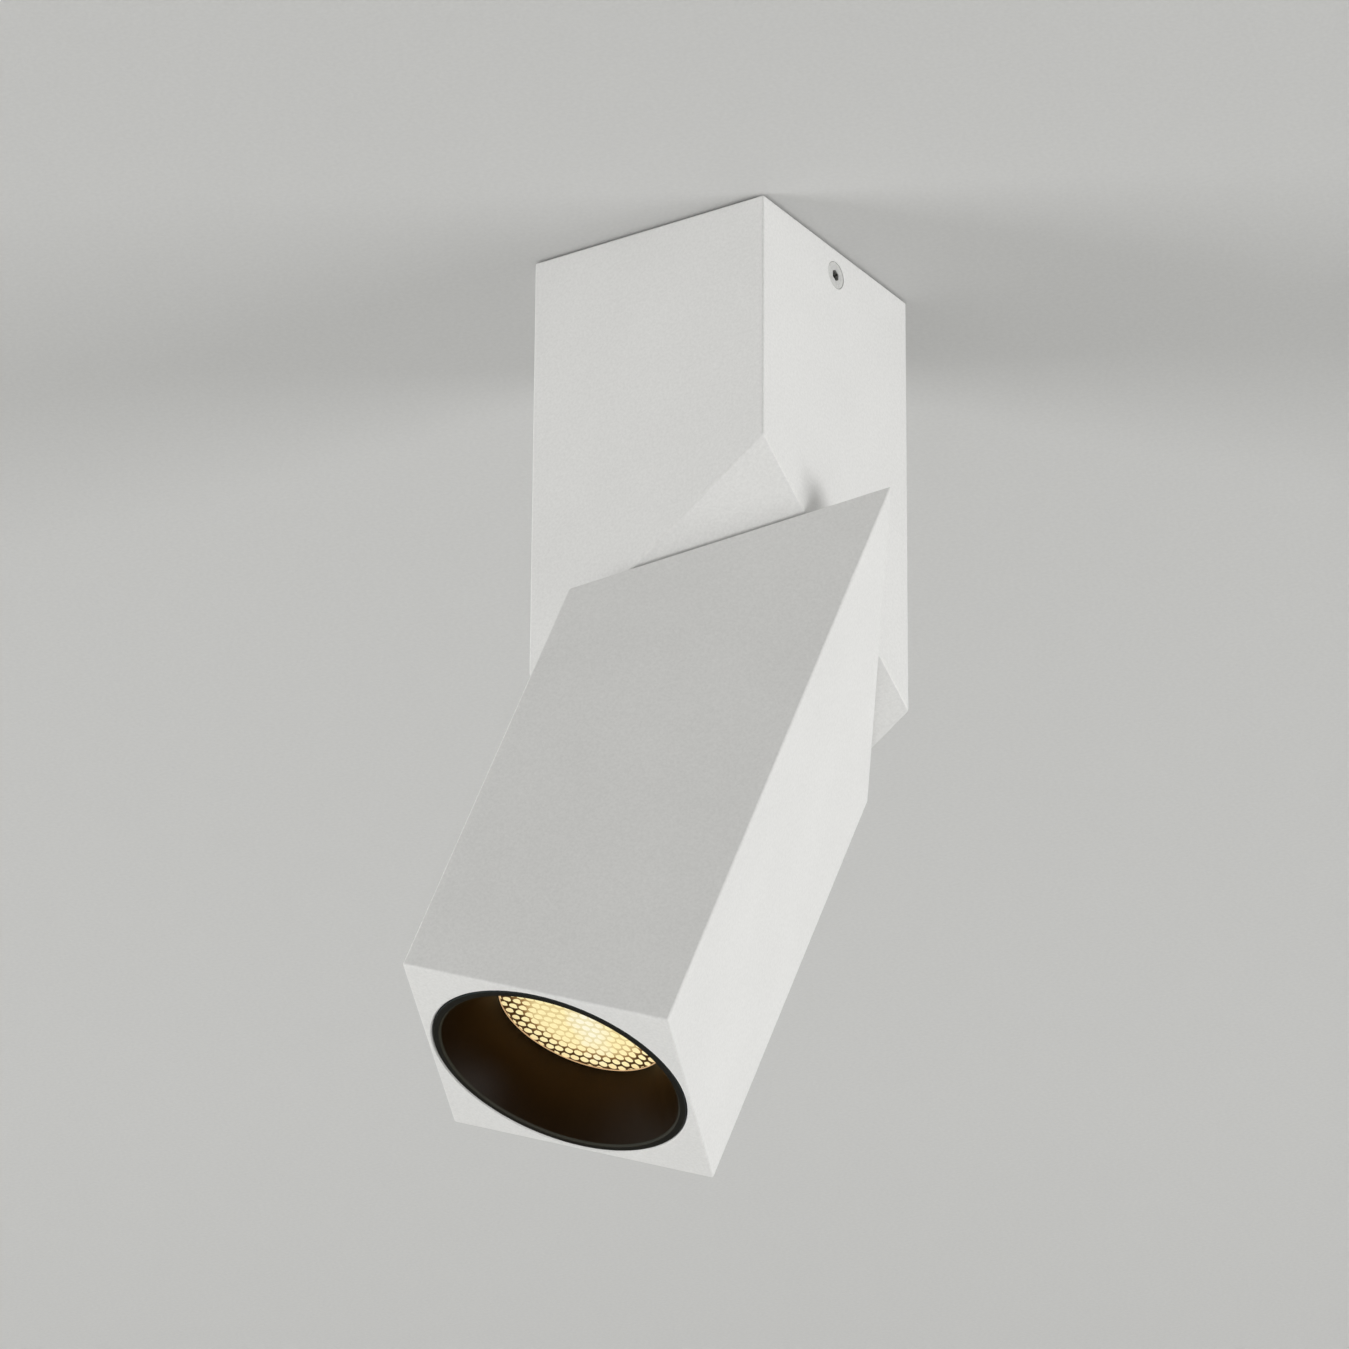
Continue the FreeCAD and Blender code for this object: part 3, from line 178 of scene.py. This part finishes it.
class Shader:
    """A node tree with short calls for the nodes that the finishes share."""

    def __init__(self, name):
        self.material = bpy.data.materials.new(name)
        self.material.use_nodes = True
        self.tree = self.material.node_tree
        self.surface = self.tree.nodes["Principled BSDF"]

    def node(self, kind, **values):
        """A new node, with its properties and its inputs set by name."""
        made = self.tree.nodes.new(kind)
        for key, value in values.items():
            if hasattr(made, key):
                setattr(made, key, value)
            else:
                made.inputs[key.replace("_", " ")].default_value = value
        return made

    def link(self, source, target):
        self.tree.links.new(source, target)

    def feed(self, socket, value):
        """Gives an input its value: a socket, a colour or a number."""
        if isinstance(value, bpy.types.NodeSocket):
            self.link(value, socket)
        elif isinstance(value, tuple):
            socket.default_value = (*value, 1)
        else:
            socket.default_value = value

    def place(self, stretch=(1, 1, 1)):
        """Where a point lies on its own piece, in metres, times a factor along each axis."""
        coordinates = self.node("ShaderNodeTexCoord")
        mapping = self.node("ShaderNodeMapping", Scale=stretch)
        self.link(coordinates.outputs["Object"], mapping.inputs["Vector"])
        return mapping.outputs["Vector"]

    def noise(self, size, detail=3.0, roughness=0.5, place=None):
        """Soft noise with spots of about this size, from 0 to 1."""
        made = self.node("ShaderNodeTexNoise", Scale=1 / size, Detail=detail, Roughness=roughness)
        self.link(place or self.place(), made.inputs["Vector"])
        return made.outputs["Fac"]

    def cells(self, size, feature="F1"):
        """How far a point is from the middle of its cell, for cells of about this size."""
        made = self.node("ShaderNodeTexVoronoi", feature=feature, Scale=1 / size)
        self.link(self.place(), made.inputs["Vector"])
        return made.outputs["Distance"]

    def shards(self, size):
        """Flat cells of about this size, each with a random value of its own."""
        made = self.node("ShaderNodeTexVoronoi", Scale=1 / size)
        self.link(self.place(), made.inputs["Vector"])
        return made.outputs["Color"]

    def span(self, value, low, high, start=0.0, end=1.0):
        """The value, taken from one range to another."""
        made = self.node(
            "ShaderNodeMapRange", From_Min=low, From_Max=high, To_Min=start, To_Max=end)
        self.link(value, made.inputs["Value"])
        return made.outputs["Result"]

    def mix(self, share, first, second):
        """A blend of two colours, each a colour or a socket."""
        made = self.node("ShaderNodeMix", data_type="RGBA")
        self.link(share, made.inputs["Factor"])
        colours = [socket for socket in made.inputs if socket.type == "RGBA"]
        self.feed(colours[0], first)
        self.feed(colours[1], second)
        return next(socket for socket in made.outputs if socket.type == "RGBA")

    def math(self, operation, first, second):
        """One sum on two values, each a number or a socket."""
        made = self.node("ShaderNodeMath", operation=operation)
        self.feed(made.inputs[0], first)
        self.feed(made.inputs[1], second)
        return made.outputs["Value"]

    def vector_math(self, operation, vector, other=None, result="Vector"):
        """One sum on a vector, with another vector if the sum takes two."""
        made = self.node("ShaderNodeVectorMath", operation=operation)
        self.link(vector, made.inputs[0])
        if other is not None:
            made.inputs[1].default_value = other
        return made.outputs[result]

    def length(self, vector, stretch=(1, 1, 1), start=(0, 0, 0)):
        """How far a point is from the start, times a factor along each axis."""
        moved = self.vector_math("SUBTRACT", vector, start)
        drawn = self.vector_math("MULTIPLY", moved, stretch)
        return self.vector_math("LENGTH", drawn, result="Value")

    def along(self, direction):
        """How far a point of its piece lies in this direction, in metres."""
        return self.vector_math("DOT_PRODUCT", self.place(), direction, "Value")

    def bump(self, height, distance):
        """A surface relief of this depth."""
        made = self.node("ShaderNodeBump", Distance=distance)
        self.link(height, made.inputs["Height"])
        return made.outputs["Normal"]

    def set(self, **values):
        """Gives the surface's inputs their values, by name."""
        for key, value in values.items():
            self.feed(self.surface.inputs[key.replace("_", " ")], value)


# Finishes of the outer pieces

def powder_coat(name, light, dark):
    """Matte powder coat: a fine sprayed grain, faint cloudiness and a soft gloss."""
    shader = Shader(name)
    grain = shader.noise(0.8 * MM, 2.0, 0.6)
    cloud = shader.noise(34 * MM, 2.0)
    grain_part = shader.math("MULTIPLY", grain, 0.75)
    cloud_part = shader.math("MULTIPLY", cloud, 0.25)
    tone = shader.math("ADD", grain_part, cloud_part)
    shader.set(
        Base_Color=shader.mix(shader.span(tone, 0.32, 0.68), dark, light),
        Roughness=shader.span(grain, 0.25, 0.75, 0.50, 0.64),
        Normal=shader.bump(grain, 0.03 * MM),
    )
    return shader.material


def satin_black():
    """Satin black coat of the baffle: a fine grain, a soft sheen, a painted sheen on the flat front of the rim and
    a painted highlight along its inner edge.
    """
    shader = Shader("satin_black")
    grain = shader.noise(0.5 * MM, 2.0, 0.6)
    cloud = shader.noise(9 * MM, 3.0)
    inwards = head_place().to_3x3() @ Vector((0, 0, 1))
    face = inwards.dot(head_place().translation)
    depth = shader.along(inwards)
    # Painted sheen: the flat front of the rim is coloured paler, in place of its reflection of the room
    rim_sheen = shader.span(depth, face + RIM_SHEEN_FADE[0], face + RIM_SHEEN_FADE[1], 1.0, 0.0)
    # Painted highlight: a paler colour along the rim's inner bevel
    edge = shader.span(depth, face + EDGE_HIGHLIGHT_FADE[0], face + EDGE_HIGHLIGHT_FADE[1], 1.0, 0.0)
    coat = shader.mix(
        shader.span(grain, 0.3, 0.7), (0.0024, 0.0015, 0.0005), (0.0058, 0.0037, 0.0011))
    coat = shader.mix(edge, coat, (0.026, 0.032, 0.033))
    shader.set(
        Base_Color=shader.mix(rim_sheen, coat, (0.023, 0.022, 0.018)),
        Roughness=shader.span(cloud, 0.3, 0.7, 0.42, 0.49),
        Specular_IOR_Level=0.45,
        Normal=shader.bump(grain, 0.02 * MM),
    )
    return shader.material


def beaded_glow():
    """The lit lens: a white streak across its middle, and further out darker gaps.

    The beads beside the streak are cream, and the rim round the field glows dimly.
    """
    shader = Shader("beaded_glow")
    rise_and_light = shader.node("ShaderNodeAttribute", attribute_name="bead_rise_and_light").outputs["Fac"]
    spot = shader.node("ShaderNodeAttribute", attribute_name="lens_spot").outputs["Vector"]
    uneven = shader.math("SUBTRACT", shader.noise(6 * MM, 2.0), 0.5)
    patchy = shader.math("SUBTRACT", shader.noise(2.4 * MM, 1.0), 0.5)
    reach = shader.length(spot)
    far = shader.math("ADD", reach, shader.math("MULTIPLY", uneven, 0.25))
    off_streak = shader.length(spot, STREAK_SHAPE, STREAK_MIDDLE)
    off_streak = shader.math("ADD", off_streak, shader.math("MULTIPLY", uneven, 0.3))
    beside = shader.span(off_streak, *STREAK_FADE)

    white_bead = (0.98, 0.94, 0.74)
    cream_bead = (1.0, 0.88, 0.47)
    tan_bead = (0.86, 0.60, 0.28)
    lit_rim = (0.62, 0.39, 0.20)
    bead = shader.mix(beside, white_bead, cream_bead)
    bead = shader.mix(shader.span(far, *BEADS_TAN), bead, tan_bead)
    bead = shader.mix(shader.span(reach, *RIM_GLOWS), bead, lit_rim)

    white_gap = (0.92, 0.84, 0.54)
    pale_gap = (0.82, 0.66, 0.32)
    brown_gap = (0.40, 0.22, 0.075)
    dark_gap = (0.056, 0.023, 0.005)
    gap = shader.mix(beside, white_gap, pale_gap)
    gap = shader.mix(shader.span(far, *GAPS_BROWN), gap, brown_gap)
    gap = shader.mix(shader.span(far, *GAPS_DARK), gap, dark_gap)

    high = shader.math("SUBTRACT", rise_and_light, shader.span(far, *BEADS_SMALLER, 0.0, 0.10))
    high = shader.math("ADD", high, shader.math("MULTIPLY", patchy, 0.7))
    shine = shader.span(high, *BEAD_SHINES)
    shader.set(
        Base_Color=shader.mix(shine, (0.03, 0.02, 0.01), (0.16, 0.12, 0.07)),
        Roughness=shader.span(uneven, -0.2, 0.2, 0.18, 0.28),
        Specular_IOR_Level=shader.span(high, *BEAD_SHINES, 0.1, 0.4),
        Emission_Color=shader.mix(shader.span(high, *BEAD_GLOWS), gap, bead),
        Emission_Strength=0.92,
    )
    return shader.material


def painted_screw():
    """A painted screw head: a ring round a slightly darker dish, with worn spots, and its socket coloured dark as
    painted shade in the recess, flecked with metal grey.
    """
    shader = Shader("painted_screw")
    low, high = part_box("side_screws")
    middle = (Vector(low) + Vector(high)) / 2
    wear = shader.noise(0.6 * MM, 4.0, 0.6)
    off_axis = shader.length(shader.place(), (0, 1, 1), middle)
    off_centre = shader.length(shader.place(), (1, 0, 0), middle)
    ring = shader.span(off_axis, *SCREW_RING)
    paint = shader.mix(ring, (0.62, 0.62, 0.61), (0.66, 0.66, 0.645))
    worn = shader.mix(shader.span(wear, 0.50, 0.75), paint, (0.52, 0.52, 0.51))
    # Painted shade: the socket's recess is coloured dark, flecked with metal grey where the wear noise is high
    socket_shade_and_metal = shader.mix(
        shader.span(wear, 0.38, 0.62), (0.05, 0.048, 0.045), (0.34, 0.335, 0.32))
    top = high[0]
    deep = shader.span(off_centre, top - SOCKET_DEPTH[0], top - SOCKET_DEPTH[1], 1.0, 0.0)
    socket = shader.math("MULTIPLY", deep, shader.span(off_axis, *SOCKET_WALL, 1.0, 0.0))
    shader.set(
        Base_Color=shader.mix(socket, worn, socket_shade_and_metal),
        Roughness=shader.span(wear, 0.3, 0.7, 0.40, 0.52),
        Normal=shader.bump(wear, 0.01 * MM),
    )
    return shader.material


# Finishes of the inner pieces

def plated_metal(name, light, dark, roughness, spangle):
    """Plated metal: a cloudy spangle, fine scratches along the sheet and soft reflections."""
    shader = Shader(name)
    flakes = shader.shards(spangle * MM)
    scratch = shader.noise(0.25 * MM, 3.0, 0.7, shader.place((0.06, 1, 1)))
    shader.set(
        Base_Color=shader.mix(shader.span(flakes, 0.1, 0.9), dark, light),
        Metallic=0.9,
        Roughness=shader.span(scratch, 0.3, 0.7, roughness - 0.08, roughness + 0.08),
        Normal=shader.bump(scratch, 0.006 * MM),
    )
    return shader.material


def moulded(name, light, dark, roughness, grain_size, gloss):
    """Moulded plastic or rubber with an eroded grain and faint flow marks."""
    shader = Shader(name)
    grain = shader.noise(grain_size * MM, 3.0, 0.6)
    flow = shader.noise(7 * MM, 3.0, 0.5, shader.place((1, 1, 0.35)))
    shader.set(
        Base_Color=shader.mix(shader.span(flow, 0.3, 0.7), dark, light),
        Roughness=shader.span(grain, 0.3, 0.7, roughness - 0.06, roughness + 0.06),
        Specular_IOR_Level=gloss,
        Normal=shader.bump(grain, 0.02 * MM),
    )
    return shader.material


def circuit_board():
    """Green solder mask over copper tracks, with bright solder points."""
    shader = Shader("solder_mask")
    tracks = shader.node("ShaderNodeTexBrick", Scale=1 / (6 * MM), Mortar_Size=0.05)
    shader.link(shader.place(), tracks.inputs["Vector"])
    points = shader.cells(2.4 * MM)
    mask = shader.mix(tracks.outputs["Fac"], (0.020, 0.110, 0.045), (0.035, 0.175, 0.070))
    shader.set(
        Base_Color=shader.mix(shader.span(points, 0.10, 0.13), (0.62, 0.60, 0.56), mask),
        Roughness=shader.span(points, 0.0, 0.6, 0.22, 0.34),
        Normal=shader.bump(tracks.outputs["Fac"], 0.03 * MM),
    )
    return shader.material


def phosphor():
    """Yellow silicone over rows of chips, lit from below."""
    shader = Shader("phosphor")
    dots = shader.cells(1.1 * MM)
    colour = shader.mix(shader.span(dots, 0.1, 0.6), (0.98, 0.84, 0.36), (0.90, 0.62, 0.12))
    shader.set(
        Base_Color=colour,
        Roughness=shader.span(dots, 0.1, 0.6, 0.24, 0.34),
        Emission_Color=colour,
        Emission_Strength=1.5,
        Normal=shader.bump(dots, 0.02 * MM),
    )
    return shader.material


def bright_reflector():
    """Vacuum-plated bowl with a faint orange-peel relief."""
    shader = Shader("bright_reflector")
    peel = shader.cells(1.6 * MM, "SMOOTH_F1")
    bright = shader.span(peel, 0.1, 0.7)
    shader.set(
        Base_Color=shader.mix(bright, (0.93, 0.92, 0.89), (0.86, 0.85, 0.82)),
        Metallic=1.0,
        Roughness=shader.span(peel, 0.1, 0.7, 0.08, 0.16),
        Normal=shader.bump(peel, 0.08 * MM),
    )
    return shader.material


def dress_nodes():
    """Gives every piece of the model the finish of its slot, and returns the finishes."""
    finishes = {
        "white_coat": powder_coat(
            "white_powder_coat", (0.854, 0.851, 0.841), (0.772, 0.769, 0.759)),
        "baffle_black": satin_black(),
        "lens_glow": beaded_glow(),
        "screw_head": painted_screw(),
        "reflector_metal": bright_reflector(),
        "circuit_board": circuit_board(),
        "phosphor": phosphor(),
    }
    for slot, recipe in PLATED.items():
        finishes[slot] = plated_metal(*recipe)
    for slot, recipe in MOULDED.items():
        finishes[slot] = moulded(*recipe)
    for part in frame["record"]["subparts"]:
        piece = nodes[part["node"]]
        piece.data.materials.clear()
        piece.data.materials.append(finishes[part["material_slot"]])
    return finishes


# Helpers for objects

def in_scene(name, data):
    """A new object of the scene."""
    piece = bpy.data.objects.new(name, data)
    bpy.context.scene.collection.objects.link(piece)
    return piece


def from_mesh(name, mesh, finish):
    """A new object of the scene with this mesh, which is used up, and this finish."""
    data = bpy.data.meshes.new(name)
    mesh.to_mesh(data)
    mesh.free()
    data.materials.append(finish)
    return in_scene(name, data)


def head_place():
    """From the lamp head hanging straight, with its end face at height 0, to its rest."""
    pivot = Matrix.Translation(swivel["pos_m"])
    turn = Matrix.Rotation(radians(REST_TURN), 4, Vector(swivel["axis"]))
    return pivot @ turn @ pivot.inverted() @ Matrix.Translation((0, 0, -BAR_LENGTH))


# The beaded lens

def on_lens(x, y):
    """The place on the lens of a point of the regular grid of beads."""
    y *= BEAD_STRETCH
    return (
        x * cos(BEAD_TURN) - y * sin(BEAD_TURN) + BEAD_SHIFT[0],
        x * sin(BEAD_TURN) + y * cos(BEAD_TURN) + BEAD_SHIFT[1],
    )


def bead_centres():
    """The middles of the beads on their hexagonal grid, in rows along X."""
    row_step = BEAD_PITCH * cos(pi / 6)
    reach = FIELD_RADIUS + BEAD_PITCH
    rows = int(reach / row_step) + 1
    columns = int(reach / BEAD_PITCH) + 1
    for row in range(-rows, rows + 1):
        for column in range(-columns, columns + 1):
            x = (column + (row % 2) / 2) * BEAD_PITCH
            y = row * row_step
            if hypot(*on_lens(x, y)) < reach:
                yield x, y


def bead_ways():
    """The directions from a bead's middle to the corners of its rings."""
    return [2 * pi * sector / BEAD_SECTORS for sector in range(BEAD_SECTORS)]


def dome_ring(mesh, rise_and_light, x, y, share):
    """One ring of a bead's dome, at this share of its radius.

    Its bright top leans towards the middle of the lens, more so on an outer bead.
    """
    middle = Vector(on_lens(x, y))
    lean = BEAD_LEAN * min(max((middle.length - LEAN_START) / (LEAN_END - LEAN_START), 0), 1)
    level = FIELD_BASE - BEAD_HEIGHT * (1 - share ** 2)
    ring = []
    for way in bead_ways():
        off_x = BEAD_RADII[0] * share * cos(way)
        off_y = BEAD_RADII[1] * share * sin(way)
        spot = Vector(on_lens(x + off_x, y + off_y / BEAD_STRETCH))
        corner = mesh.verts.new((*spot, level))
        corner[rise_and_light] = 1 - share ** 2
        # Painted light: lowering the outer side's height value moves each bead's bright top towards the middle of
        # the lens
        if lean:
            outwards = (spot - middle).normalized().dot(middle.normalized())
            corner[rise_and_light] -= lean * share * outwards
        ring.append(corner)
    return ring


def cell_edge(mesh, x, y):
    """The hexagon that a bead shares with its neighbours, at the bottom of the gaps."""
    edge = []
    for way in bead_ways():
        off_face = (way + pi / 6) % (pi / 3) - pi / 6
        radius = BEAD_PITCH / 2 / cos(off_face)
        spot = on_lens(x + radius * cos(way), y + radius * sin(way))
        edge.append(mesh.verts.new((*spot, FIELD_BASE)))
    return edge


def bridge(mesh, inner, outer):
    """The faces between two rings, of which the inner one may be a single corner."""
    for sector in range(BEAD_SECTORS):
        following = (sector + 1) % BEAD_SECTORS
        corners = [outer[following], outer[sector], inner[sector % len(inner)]]
        if len(inner) > 1:
            corners.append(inner[following])
        mesh.faces.new(corners)


def bead_cell(mesh, rise_and_light, x, y):
    """One bead: a dome of rings round its middle, out to the hexagon that it shares."""
    top = mesh.verts.new((*on_lens(x, y), LENS_FRONT))
    top[rise_and_light] = 1
    rings = [[top]]
    for ring in range(1, BEAD_RINGS + 1):
        rings.append(dome_ring(mesh, rise_and_light, x, y, ring / BEAD_RINGS))
    rings.append(cell_edge(mesh, x, y))
    for inner, outer in zip(rings, rings[1:]):
        bridge(mesh, inner, outer)


def reach_of(corner):
    """How far a corner is from the axis of the lens."""
    return hypot(corner.co.x, corner.co.y)


def put_at(corner, radius, level):
    """Moves a corner straight in or out to this radius, and to this level."""
    share = radius / reach_of(corner)
    corner.co = Vector((corner.co.x * share, corner.co.y * share, level))


def field_of_beads(mesh):
    """One sheet of beads, cut off round at the edge of the field."""
    rise_and_light = mesh.verts.layers.float.new("bead_rise_and_light")
    for x, y in bead_centres():
        bead_cell(mesh, rise_and_light, x, y)
    bmesh.ops.remove_doubles(mesh, verts=mesh.verts, dist=JOIN_REACH)
    outside = {corner for corner in mesh.verts if reach_of(corner) > FIELD_RADIUS}
    beyond = [face for face in mesh.faces if outside.issuperset(face.verts)]
    bmesh.ops.delete(mesh, geom=beyond, context="FACES")
    for corner in mesh.verts:
        if reach_of(corner) > FIELD_RADIUS:
            put_at(corner, FIELD_RADIUS, FIELD_BASE)
            corner[rise_and_light] = 0
    bmesh.ops.remove_doubles(mesh, verts=mesh.verts, dist=JOIN_REACH)


def drawn_out(mesh, edges, radius, level):
    """A wall or flat ring from these edges to a circle, and the edges of that circle."""
    grown = bmesh.ops.extrude_edge_only(mesh, edges=edges)["geom"]
    for item in grown:
        if isinstance(item, bmesh.types.BMVert):
            put_at(item, radius, level)
        elif isinstance(item, bmesh.types.BMFace):
            item.smooth = False
    return [item for item in grown if isinstance(item, bmesh.types.BMEdge) and item.is_boundary]


def mark_spots(mesh):
    """Keeps each corner's place on the lens, as shares of the radius, and lights the rim."""
    rise_and_light = mesh.verts.layers.float["bead_rise_and_light"]
    spot = mesh.verts.layers.float_vector.new("lens_spot")
    for corner in mesh.verts:
        corner[spot] = Vector((corner.co.x, corner.co.y, 0)) / LENS_RADIUS
        if reach_of(corner) > RIM_START and corner.co.z < LENS_FRONT + RIM_DEPTH:
            corner[rise_and_light] = 1


def put_in_order(mesh):
    """Sorts the faces by their corners, so that their order is the same each time."""
    mesh.verts.index_update()
    ranked = sorted(mesh.faces, key=lambda face: sorted(corner.index for corner in face.verts))
    for rank, face in enumerate(ranked):
        face.index = rank
    mesh.faces.sort()


def beaded_lens(finish):
    """A round lens: beads in a flat rim, with a plain side and back."""
    mesh = bmesh.new()
    field_of_beads(mesh)
    for face in mesh.faces:
        face.smooth = True
    edges = [edge for edge in mesh.edges if edge.is_boundary]
    edges = drawn_out(mesh, edges, FIELD_RADIUS, LENS_FRONT)
    edges = drawn_out(mesh, edges, LENS_RADIUS, LENS_FRONT)
    edges = drawn_out(mesh, edges, LENS_RADIUS, LENS_BACK)
    bmesh.ops.contextual_create(mesh, geom=edges)
    bmesh.ops.recalc_face_normals(mesh, faces=mesh.faces)
    put_in_order(mesh)
    mark_spots(mesh)
    mesh.transform(head_place())
    piece = from_mesh("beaded_lens", mesh, finish)
    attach(piece, "lamp_head")
    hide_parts("lens")


# The room and its lamps

def square(mesh, side, level):
    """The corners of a level square, in their order round it seen from above."""
    half = side / 2
    signs = ((-1, -1), (1, -1), (1, 1), (-1, 1))
    return [mesh.verts.new((x * half, y * half, level)) for x, y in signs]


def flat_sheet(name, side, level, finish, hole=0.0):
    """A large square sheet of the room, with a square hole if that has a size."""
    mesh = bmesh.new()
    outer = square(mesh, side, level)
    if hole:
        inner = square(mesh, hole, level)
        for index in range(len(outer)):
            mesh.faces.new((outer[index - 1], inner[index - 1], inner[index], outer[index]))
    else:
        mesh.faces.new(outer)
    sheet = from_mesh(name, mesh, finish)
    return sheet


def ceiling_paint():
    """Flat pale grey paint on the lower side, and nothing from above, where one looks down.

    It is painted slightly lighter towards the far end of the room, a painted fall of light across the ceiling.
    """
    shader = Shader("ceiling_paint")
    grain = shader.span(shader.noise(1.3 * MM, 2.0, 0.6), 0.3, 0.7)
    near = shader.mix(grain, (0.582, 0.582, 0.577), (0.612, 0.612, 0.607))
    far = shader.mix(grain, (0.653, 0.653, 0.648), (0.686, 0.686, 0.681))
    # Painted light: the ceiling's colour grows lighter towards the far end of the room
    far_share = shader.span(shader.along(CEILING_FAR_WAY), *CEILING_FAR_FADE)
    shader.set(
        Base_Color=shader.mix(far_share, near, far),
        Roughness=0.9,
        Specular_IOR_Level=0.1,
    )
    geometry = shader.node("ShaderNodeNewGeometry")
    clear = shader.node("ShaderNodeBsdfTransparent")
    chosen = shader.node("ShaderNodeMixShader")
    shader.link(geometry.outputs["Backfacing"], chosen.inputs["Fac"])
    shader.link(shader.surface.outputs["BSDF"], chosen.inputs[1])
    shader.link(clear.outputs["BSDF"], chosen.inputs[2])
    shader.link(chosen.outputs["Shader"], shader.tree.nodes["Material Output"].inputs["Surface"])
    return shader.material


def floor_paint():
    """Plain pale floor."""
    shader = Shader("floor_paint")
    cloud = shader.span(shader.noise(0.8, 3.0), 0.3, 0.7)
    shader.set(
        Base_Color=shader.mix(cloud, (0.76, 0.76, 0.74), (0.80, 0.80, 0.78)),
        Roughness=0.8,
    )
    return shader.material


def soft_box(name, bearing, height_angle, distance, width, height, power, in_gloss):
    """A soft box that faces the middle of the fixture."""
    data = bpy.data.lights.new(name, "AREA")
    data.shape = "RECTANGLE"
    data.size = width
    data.size_y = height
    data.energy = power
    level = cos(radians(height_angle))
    way = Vector((
        sin(radians(bearing)) * level,
        -cos(radians(bearing)) * level,
        sin(radians(height_angle)),
    ))
    lamp = in_scene(name, data)
    lamp.location = CAMERA_AIM + way * distance
    lamp.rotation_mode = "QUATERNION"
    lamp.rotation_quaternion = way.to_track_quat("Z", "Y")
    lamp.visible_glossy = in_gloss


def inner_lamp():
    """The light that the lens throws on the baffle round it, itself never seen or mirrored."""
    data = bpy.data.lights.new("lens_light", "AREA")
    data.shape = "DISK"
    data.size = 2 * GLOW_RADIUS
    data.energy = GLOW_POWER
    data.color = GLOW_TONE
    lamp = in_scene("lens_light", data)
    lamp.matrix_world = head_place() @ Matrix.Translation((0, 0, LENS_FRONT - GLOW_LIFT))
    lamp.visible_camera = False
    lamp.visible_glossy = False
    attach(lamp, "lamp_head")


def room():
    """Ceiling, floor, the plain light of the room and its soft boxes."""
    flat_sheet("ceiling", CEILING_SIDE, CEILING_GAP, ceiling_paint(), CEILING_HOLE)
    floor = flat_sheet("floor", FLOOR_SIDE, FLOOR_LEVEL, floor_paint())
    floor.visible_glossy = False
    world = bpy.data.worlds.new("room_light")
    world.use_nodes = True
    background = world.node_tree.nodes["Background"]
    background.inputs["Color"].default_value = (*ROOM_TONE, 1)
    background.inputs["Strength"].default_value = ROOM_LIGHT
    bpy.context.scene.world = world
    world.cycles_visibility.glossy = False
    for name, values in SOFT_BOXES.items():
        soft_box(name, **values)


def camera():
    """The camera, at the photograph's place."""
    data = bpy.data.cameras.new("camera")
    data.lens = CAMERA_LENS
    data.sensor_width = SENSOR_WIDTH
    data.clip_start = CLIP_START
    data.clip_end = CLIP_END
    towards = (CAMERA_AIM - CAMERA_PLACE).normalized()
    level = towards.to_track_quat("-Z", "Y").to_matrix().to_4x4()
    roll = Matrix.Rotation(radians(-CAMERA_ROLL), 4, "Z")
    piece = in_scene("camera", data)
    piece.matrix_world = Matrix.Translation(CAMERA_PLACE) @ level @ roll
    bpy.context.scene.camera = piece


finishes = dress_nodes()
beaded_lens(finishes["lens_glow"])
inner_lamp()
room()
camera()
bpy.context.scene.view_settings.view_transform = "Standard"
